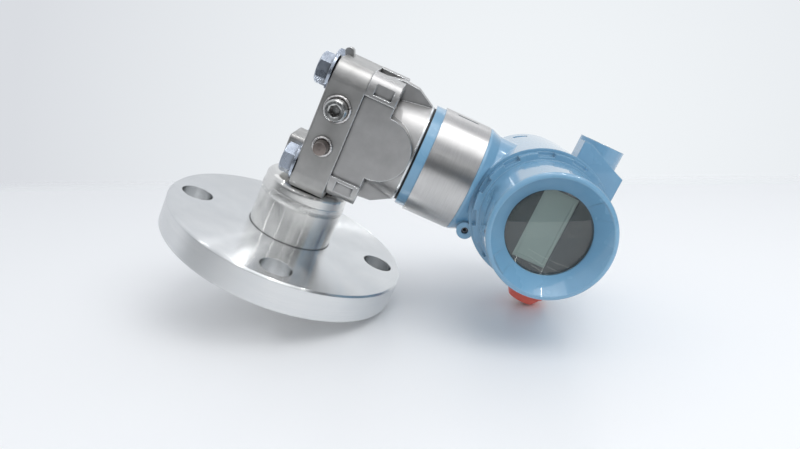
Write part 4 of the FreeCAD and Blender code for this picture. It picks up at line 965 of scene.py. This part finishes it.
@dataclass
class Housing:
    """The painted housing, its band, and the electronics inside."""

    thread_start: float = 32.0 * MM
    thread_pitch: float = 1.814 * MM
    thread_turns: int = 9
    thread_root: float = 10.1 * MM
    thread_crest: float = 9.25 * MM
    lcd_size: Vector = Vector((17.6 * MM, 2.6 * MM, 38.0 * MM))
    lcd_bevel: float = 0.2 * MM
    lcd_frame: float = 1.6 * MM
    lcd_step: float = 0.15 * MM
    lcd_sink: float = 0.25 * MM

    def build(self) -> None:
        """Cut the open conduit's thread and build the display cell."""
        station = Matrix.Translation((0.0, 0.0, AXIS_HEIGHT)) @ HOUSING_TILT
        start = station @ Matrix.Translation((CONDUIT_CENTRE.x, CONDUIT_CENTRE.y, self.thread_start))
        Thread("upper_conduit_thread", Body.HOUSING, MACHINED, "machined_steel", self.thread_root,
               self.thread_crest, self.thread_pitch, self.thread_turns).build(start)
        self.display_cell()

    def display_cell(self) -> None:
        """Build the display as a bevelled glass cell with a sunk active field."""
        low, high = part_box("lcd_panel")
        begin_piece()
        bpy.ops.mesh.primitive_cube_add(size=1.0)
        cell = bpy.context.object
        cell.scale = self.lcd_size
        bpy.ops.object.transform_apply(location=True, rotation=True, scale=True)
        apply_modifier(cell, "BEVEL", width=self.lcd_bevel, segments=2)
        bpy.ops.object.mode_set(mode="EDIT")
        select_parts(cell, lambda normal: normal.y < -0.99, faces=True)
        bpy.ops.mesh.inset(thickness=self.lcd_frame, depth=0.0)
        bpy.ops.mesh.inset(thickness=self.lcd_step, depth=-self.lcd_sink)
        bpy.ops.object.mode_set(mode="OBJECT")
        cell.matrix_world = Matrix.Translation((low + high) / 2.0) @ HOUSING_TILT
        end_piece(cell, "display_cell", Body.HOUSING, [LCD], crease=30.0)
        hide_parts("lcd_panel")

    def dress(self) -> None:
        """Dress the housing, its band and the electronics."""
        dress(ENAMEL, "electronics_housing")
        dress(NAMEPLATE, "nameplate_band")
        dress(ZINC, "set_screw")
        dress(BEZEL_PLASTIC, "meter_bezel")
        dress(DARK_PLASTIC, "terminal_block")
        dress(BOARD, "meter_board", "main_board")
        dress(BRASS, "board_posts")
        dress(MACHINED, "meter_screws", "terminal_screws", "ground_screw")
        dress(CABLE_JACKET, "sensor_cable")


@dataclass
class Covers:
    """The display cover with its window, the blind terminal cover, and their seals."""

    front_start: float = -26.4 * MM
    rear_start: float = 21.0 * MM
    thread_root: float = 34.6 * MM
    thread_crest: float = 34.93 * MM
    thread_pitch: float = 2.0 * MM
    thread_turns: int = 4
    pane_radius: float = 26.0 * MM
    pane_gauge: float = 7.5 * MM
    pane_edge: float = 0.5 * MM

    def build(self) -> None:
        """Wind the shallow threads by which both covers screw into the barrel, and grind the window."""
        station = Matrix.Translation(BARREL_CENTRE) @ HOUSING_TILT
        barrel = station @ Matrix.Rotation(-math.pi / 2.0, 4, "X")
        for name, body, start in (("display_cover_thread", Body.FRONT_COVER, self.front_start),
                                  ("terminal_cover_thread", Body.REAR_COVER, self.rear_start)):
            thread = Thread(name, body, ENAMEL, "blue_paint", self.thread_root, self.thread_crest,
                            self.thread_pitch, self.thread_turns)
            thread.build(barrel @ Matrix.Translation((0.0, 0.0, start)))
        self.window_pane()

    def window_pane(self) -> None:
        """Grind the window pane: clear faces, a bevelled edge and a black potted rim."""
        low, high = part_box("window_glass")
        begin_piece()
        bpy.ops.mesh.primitive_cylinder_add(vertices=128, radius=self.pane_radius, depth=self.pane_gauge)
        pane = bpy.context.object
        bpy.ops.object.mode_set(mode="EDIT")
        bpy.ops.mesh.select_mode(type="EDGE")
        select_parts(pane, lambda normal: abs(normal.z) > 0.9, faces=True)
        bpy.ops.mesh.region_to_loop()
        bpy.ops.mesh.bevel(offset=self.pane_edge, segments=2)
        bpy.ops.object.mode_set(mode="OBJECT")
        # The flat faces and the first step of their bevel are clear, and the rim is potted.
        for face in pane.data.polygons:
            face.material_index = 0 if abs(face.normal.z) > 0.9 else 1
        turn = HOUSING_TILT @ Matrix.Rotation(-math.pi / 2.0, 4, "X")
        pane.matrix_world = Matrix.Translation((low + high) / 2.0) @ turn
        end_piece(pane, "window_pane", Body.FRONT_COVER, [GLASS, POTTING], crease=30.0)
        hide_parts("window_glass")

    def dress(self) -> None:
        """Dress the covers, the window and the seals."""
        dress(ENAMEL, "display_cover", "terminal_cover")
        dress(MACHINED, "window_retainer")
        dress(RUBBER, "front_cover_oring", "rear_cover_oring")


@dataclass
class ConduitPlug:
    """The red plug that keeps the lower conduit clean in transport."""

    def dress(self) -> None:
        """Dress the plug."""
        dress(RED_PLASTIC, "conduit_plug")


@dataclass
class Lamp:
    """One soft lamp that faces the part. Its size is the side across `along` and the side that follows it."""

    name: str
    way: Vector
    distance: float
    size: tuple[float, float]
    power: float
    along: Vector = FLANGE_AXIS
    spot: Vector = PART_MIDDLE
    glossy: bool = True
    diffuse: bool = True

    def build(self) -> None:
        """Hang the lamp away from the spot that it faces."""
        data = bpy.data.lights.new(self.name, "AREA")
        data.shape = "RECTANGLE"
        data.size, data.size_y = self.size
        data.energy = self.power
        back = self.way.normalized()
        side = self.along.cross(back).normalized()
        turn = Matrix((side, back.cross(side), back)).transposed().to_4x4()
        hung = bpy.data.objects.new(self.name, data)
        hung.matrix_world = Matrix.Translation(self.spot + back * self.distance) @ turn
        hung.visible_camera = False
        hung.visible_glossy = self.glossy
        hung.visible_diffuse = self.diffuse
        bpy.context.scene.collection.objects.link(hung)


@dataclass
class Studio:
    """White table, pale room, soft lamps and the camera at the photograph's angle."""

    # The table's directions, then the camera's place and directions, in the part's frame.
    up: Vector = Vector((-0.41760, 0.05010, 0.90730))
    ahead: Vector = Vector((-0.04870, 0.99580, -0.07740))
    right: Vector = Vector((0.90730, 0.07650, 0.41340))
    eye: Vector = Vector((0.040566, -0.382467, 0.168542))
    look_right: Vector = Vector((0.91112, 0.07382, 0.40547))
    look_up: Vector = Vector((-0.40862, 0.29011, 0.86537))
    look_back: Vector = Vector((-0.05375, -0.95414, 0.29448))
    # A full-frame sensor, in millimetres.
    sensor_width: float = 36.0
    table_width: float = 2.4
    table_near: float = -0.16
    wall_bright: str = "#F1F5F8"
    wall_dim: str = "#DADDE2"
    # Where the photograph's wall is brightest, in pixels.
    wall_centre: tuple[int, int] = (520, 170)
    front_room: str = "#5F6265"
    front_fill: str = "#DADCDE"
    # Cosines to each direction between which the room turns from dim to pale.
    ahead_span: tuple[float, float] = (-0.45, 0.15)
    up_span: tuple[float, float] = (0.2, 0.75)
    right_span: tuple[float, float] = (0.9, 0.5)
    # Rise in degrees, width in metres and power in watts of each window strip.
    strips: tuple = ((33.0, 0.03, 0.24), (24.0, 0.02, 0.16), (16.0, 0.02, 0.16))
    # Angle of the bright line round the flange, the panel's rise in degrees, and its power in watts.
    panels: tuple = ((-117.0, 92.0, 0.6), (-98.0, 92.0, 1.2), (-83.0, 92.0, 0.7), (-68.6, 92.0, 0.7),
                     (60.5, 60.0, 0.4), (-117.0, 38.0, 0.2), (-98.0, 38.0, 0.12), (-83.0, 38.0, 0.06),
                     (-68.6, 38.0, 0.12))
    panel_size: tuple[float, float] = (0.018, 0.3)
    panel_distance: float = 1.3
    panel_spot: float = 50.0 * MM

    def build(self) -> None:
        """Set up the table, the room, the lamps and the camera."""
        self.lay_table()
        self.light_room()
        self.hang_lamps()
        self.place_camera()

    def hang_lamps(self) -> None:
        """Hang the soft boxes, the window strips and the ceiling panels."""
        above = Vector((-0.12, -0.2, 0.95))
        behind = self.up * 0.8 + self.ahead * 0.6
        front = self.up * 0.75 - self.ahead * 0.55 + self.right * 0.35
        Lamp("overhead_softbox", above, distance=0.72, size=(0.62, 0.36), power=0.95).build()
        Lamp("rear_softbox", behind, distance=0.85, size=(1.1, 0.3), power=0.45).build()
        Lamp("front_softbox", front, distance=1.8, size=(1.5, 0.9), power=9.8, glossy=False).build()
        for number, (rise, width, power) in enumerate(self.strips):
            side = math.radians(rise)
            way = self.up * math.sin(side) - self.ahead * math.cos(side)
            Lamp(f"window_strip_{number}", way, distance=1.5, size=(1.6, width), power=power).build()
        for number, (around, rise, power) in enumerate(self.panels):
            self.ceiling_panel(f"ceiling_panel_{number}", math.radians(around), math.radians(rise), power)

    def ceiling_panel(self, name: str, around: float, rise: float, power: float) -> None:
        """Hang a narrow panel that lays one bright line across the flange's turning rings.

        Args:
            name: the lamp's name.
            around: angle of the bright line round the flange's axis, in radians.
            rise: angle of the panel above the flange, in radians.
            power: its power in watts.
        """
        outward = Vector((math.cos(around), math.sin(around), 0.0))
        across = FLANGE_AXIS.cross(outward)
        spot = self.panel_spot * outward
        aside = -across.dot((self.eye - spot).normalized())
        level = math.sqrt(1.0 - aside * aside)
        way = across * aside + (outward * math.cos(rise) + FLANGE_AXIS * math.sin(rise)) * level
        along = FLANGE_AXIS * math.cos(rise) - outward * math.sin(rise)
        Lamp(name, way, self.panel_distance, self.panel_size, power, along, spot, diffuse=False).build()

    def lay_table(self) -> None:
        """Lay the white table under the lowest points of the part, as it lies in the photograph."""
        lowest = min(self.up.dot(vert.co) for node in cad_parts.values() for vert in node.data.vertices)
        under = self.eye + self.up * (lowest - self.up.dot(self.eye))
        middle = under + self.ahead * (self.table_near + LAMINATE.depth / 2.0)
        turn = Matrix((self.right, self.ahead, self.up)).transposed().to_4x4()
        begin_piece()
        bpy.ops.mesh.primitive_grid_add(x_subdivisions=24, y_subdivisions=12, size=1.0)
        table = bpy.context.object
        table.name = "white_table"
        table.scale = (self.table_width, LAMINATE.depth, 1.0)
        bpy.ops.object.transform_apply(location=True, rotation=True, scale=True)
        table.matrix_world = Matrix.Translation(middle) @ turn
        table.data.materials.append(LAMINATE.material())

    def light_room(self) -> None:
        """Surround the part with a pale room that is dim behind the camera and on the right."""
        world = bpy.data.worlds.new("pale_room")
        bpy.context.scene.world = world
        world.use_nodes = True
        world.node_tree.nodes.clear()
        add = partial(add_node, world.node_tree)
        column, row = self.wall_centre
        centre = (self.look_right * (column - PHOTO_WIDTH / 2.0) + self.look_up * (PHOTO_HEIGHT / 2.0 - row)
                  - self.look_back * FOCAL_PIXELS).normalized()
        way = add("TexCoord", out="Generated")
        toward, rise, aside, near = (
            add("VectorMath", {0: way, 1: axis}, "Value", operation="DOT_PRODUCT")
            for axis in (self.ahead, self.up, self.right, centre))
        back, above, lit = (
            add("MapRange", {"Value": cosine, "From Min": start, "From Max": full},
                interpolation_type="SMOOTHSTEP")
            for cosine, (start, full) in ((toward, self.ahead_span), (rise, self.up_span),
                                          (aside, self.right_span)))
        pale = add("Math", {0: back, 1: above}, operation="MAXIMUM")
        bright = add("Math", {0: pale, 1: lit}, operation="MULTIPLY")
        pool = add("MapRange", {"Value": near, "From Min": 0.75, "From Max": 1.0})
        wall = add("Mix", {0: pool, 6: srgb(self.wall_dim), 7: srgb(self.wall_bright)}, 2, data_type="RGBA")
        camera, glossy, through = (
            add("LightPath", out=f"Is {ray} Ray") for ray in ("Camera", "Glossy", "Transmission"))
        dim = add("Mix", {0: glossy, 6: srgb(self.front_fill), 7: srgb(self.front_room)}, 2, data_type="RGBA")
        room = add("Mix", {0: bright, 6: dim, 7: wall}, 2, data_type="RGBA")
        seen = add("Math", {0: camera, 1: through}, operation="MAXIMUM")
        shown = add("Mix", {0: seen, 6: room, 7: wall}, 2, data_type="RGBA")
        light = add("Background", {"Color": shown, "Strength": 1.0})
        add("OutputWorld", {"Surface": light})

    def place_camera(self) -> None:
        """Stand the camera where the photograph was taken."""
        data = bpy.data.cameras.new("photo_camera")
        data.sensor_width = self.sensor_width
        data.lens = FOCAL_PIXELS / PHOTO_WIDTH * self.sensor_width
        data.clip_start = 10.0 * MM
        camera = bpy.data.objects.new("photo_camera", data)
        turn = Matrix((self.look_right, self.look_up, self.look_back)).transposed().to_4x4()
        camera.matrix_world = Matrix.Translation(self.eye) @ turn
        bpy.context.scene.collection.objects.link(camera)
        bpy.context.scene.camera = camera


def main() -> None:
    """Build and dress each sub-assembly in order, then set up the studio."""
    logging.basicConfig(level=logging.INFO, format="%(name)s: %(message)s")
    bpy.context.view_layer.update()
    bpy.context.scene.view_settings.view_transform = "Standard"
    seal_flange, block, housing, covers = SealFlange(), ProcessBlock(), Housing(), Covers()
    for assembly in (seal_flange, block, housing, covers):
        assembly.build()
    for assembly in (seal_flange, block, SensorModule(), housing, covers, ConduitPlug()):
        assembly.dress()
    Studio().build()


if __name__ == "__main__":
    main()
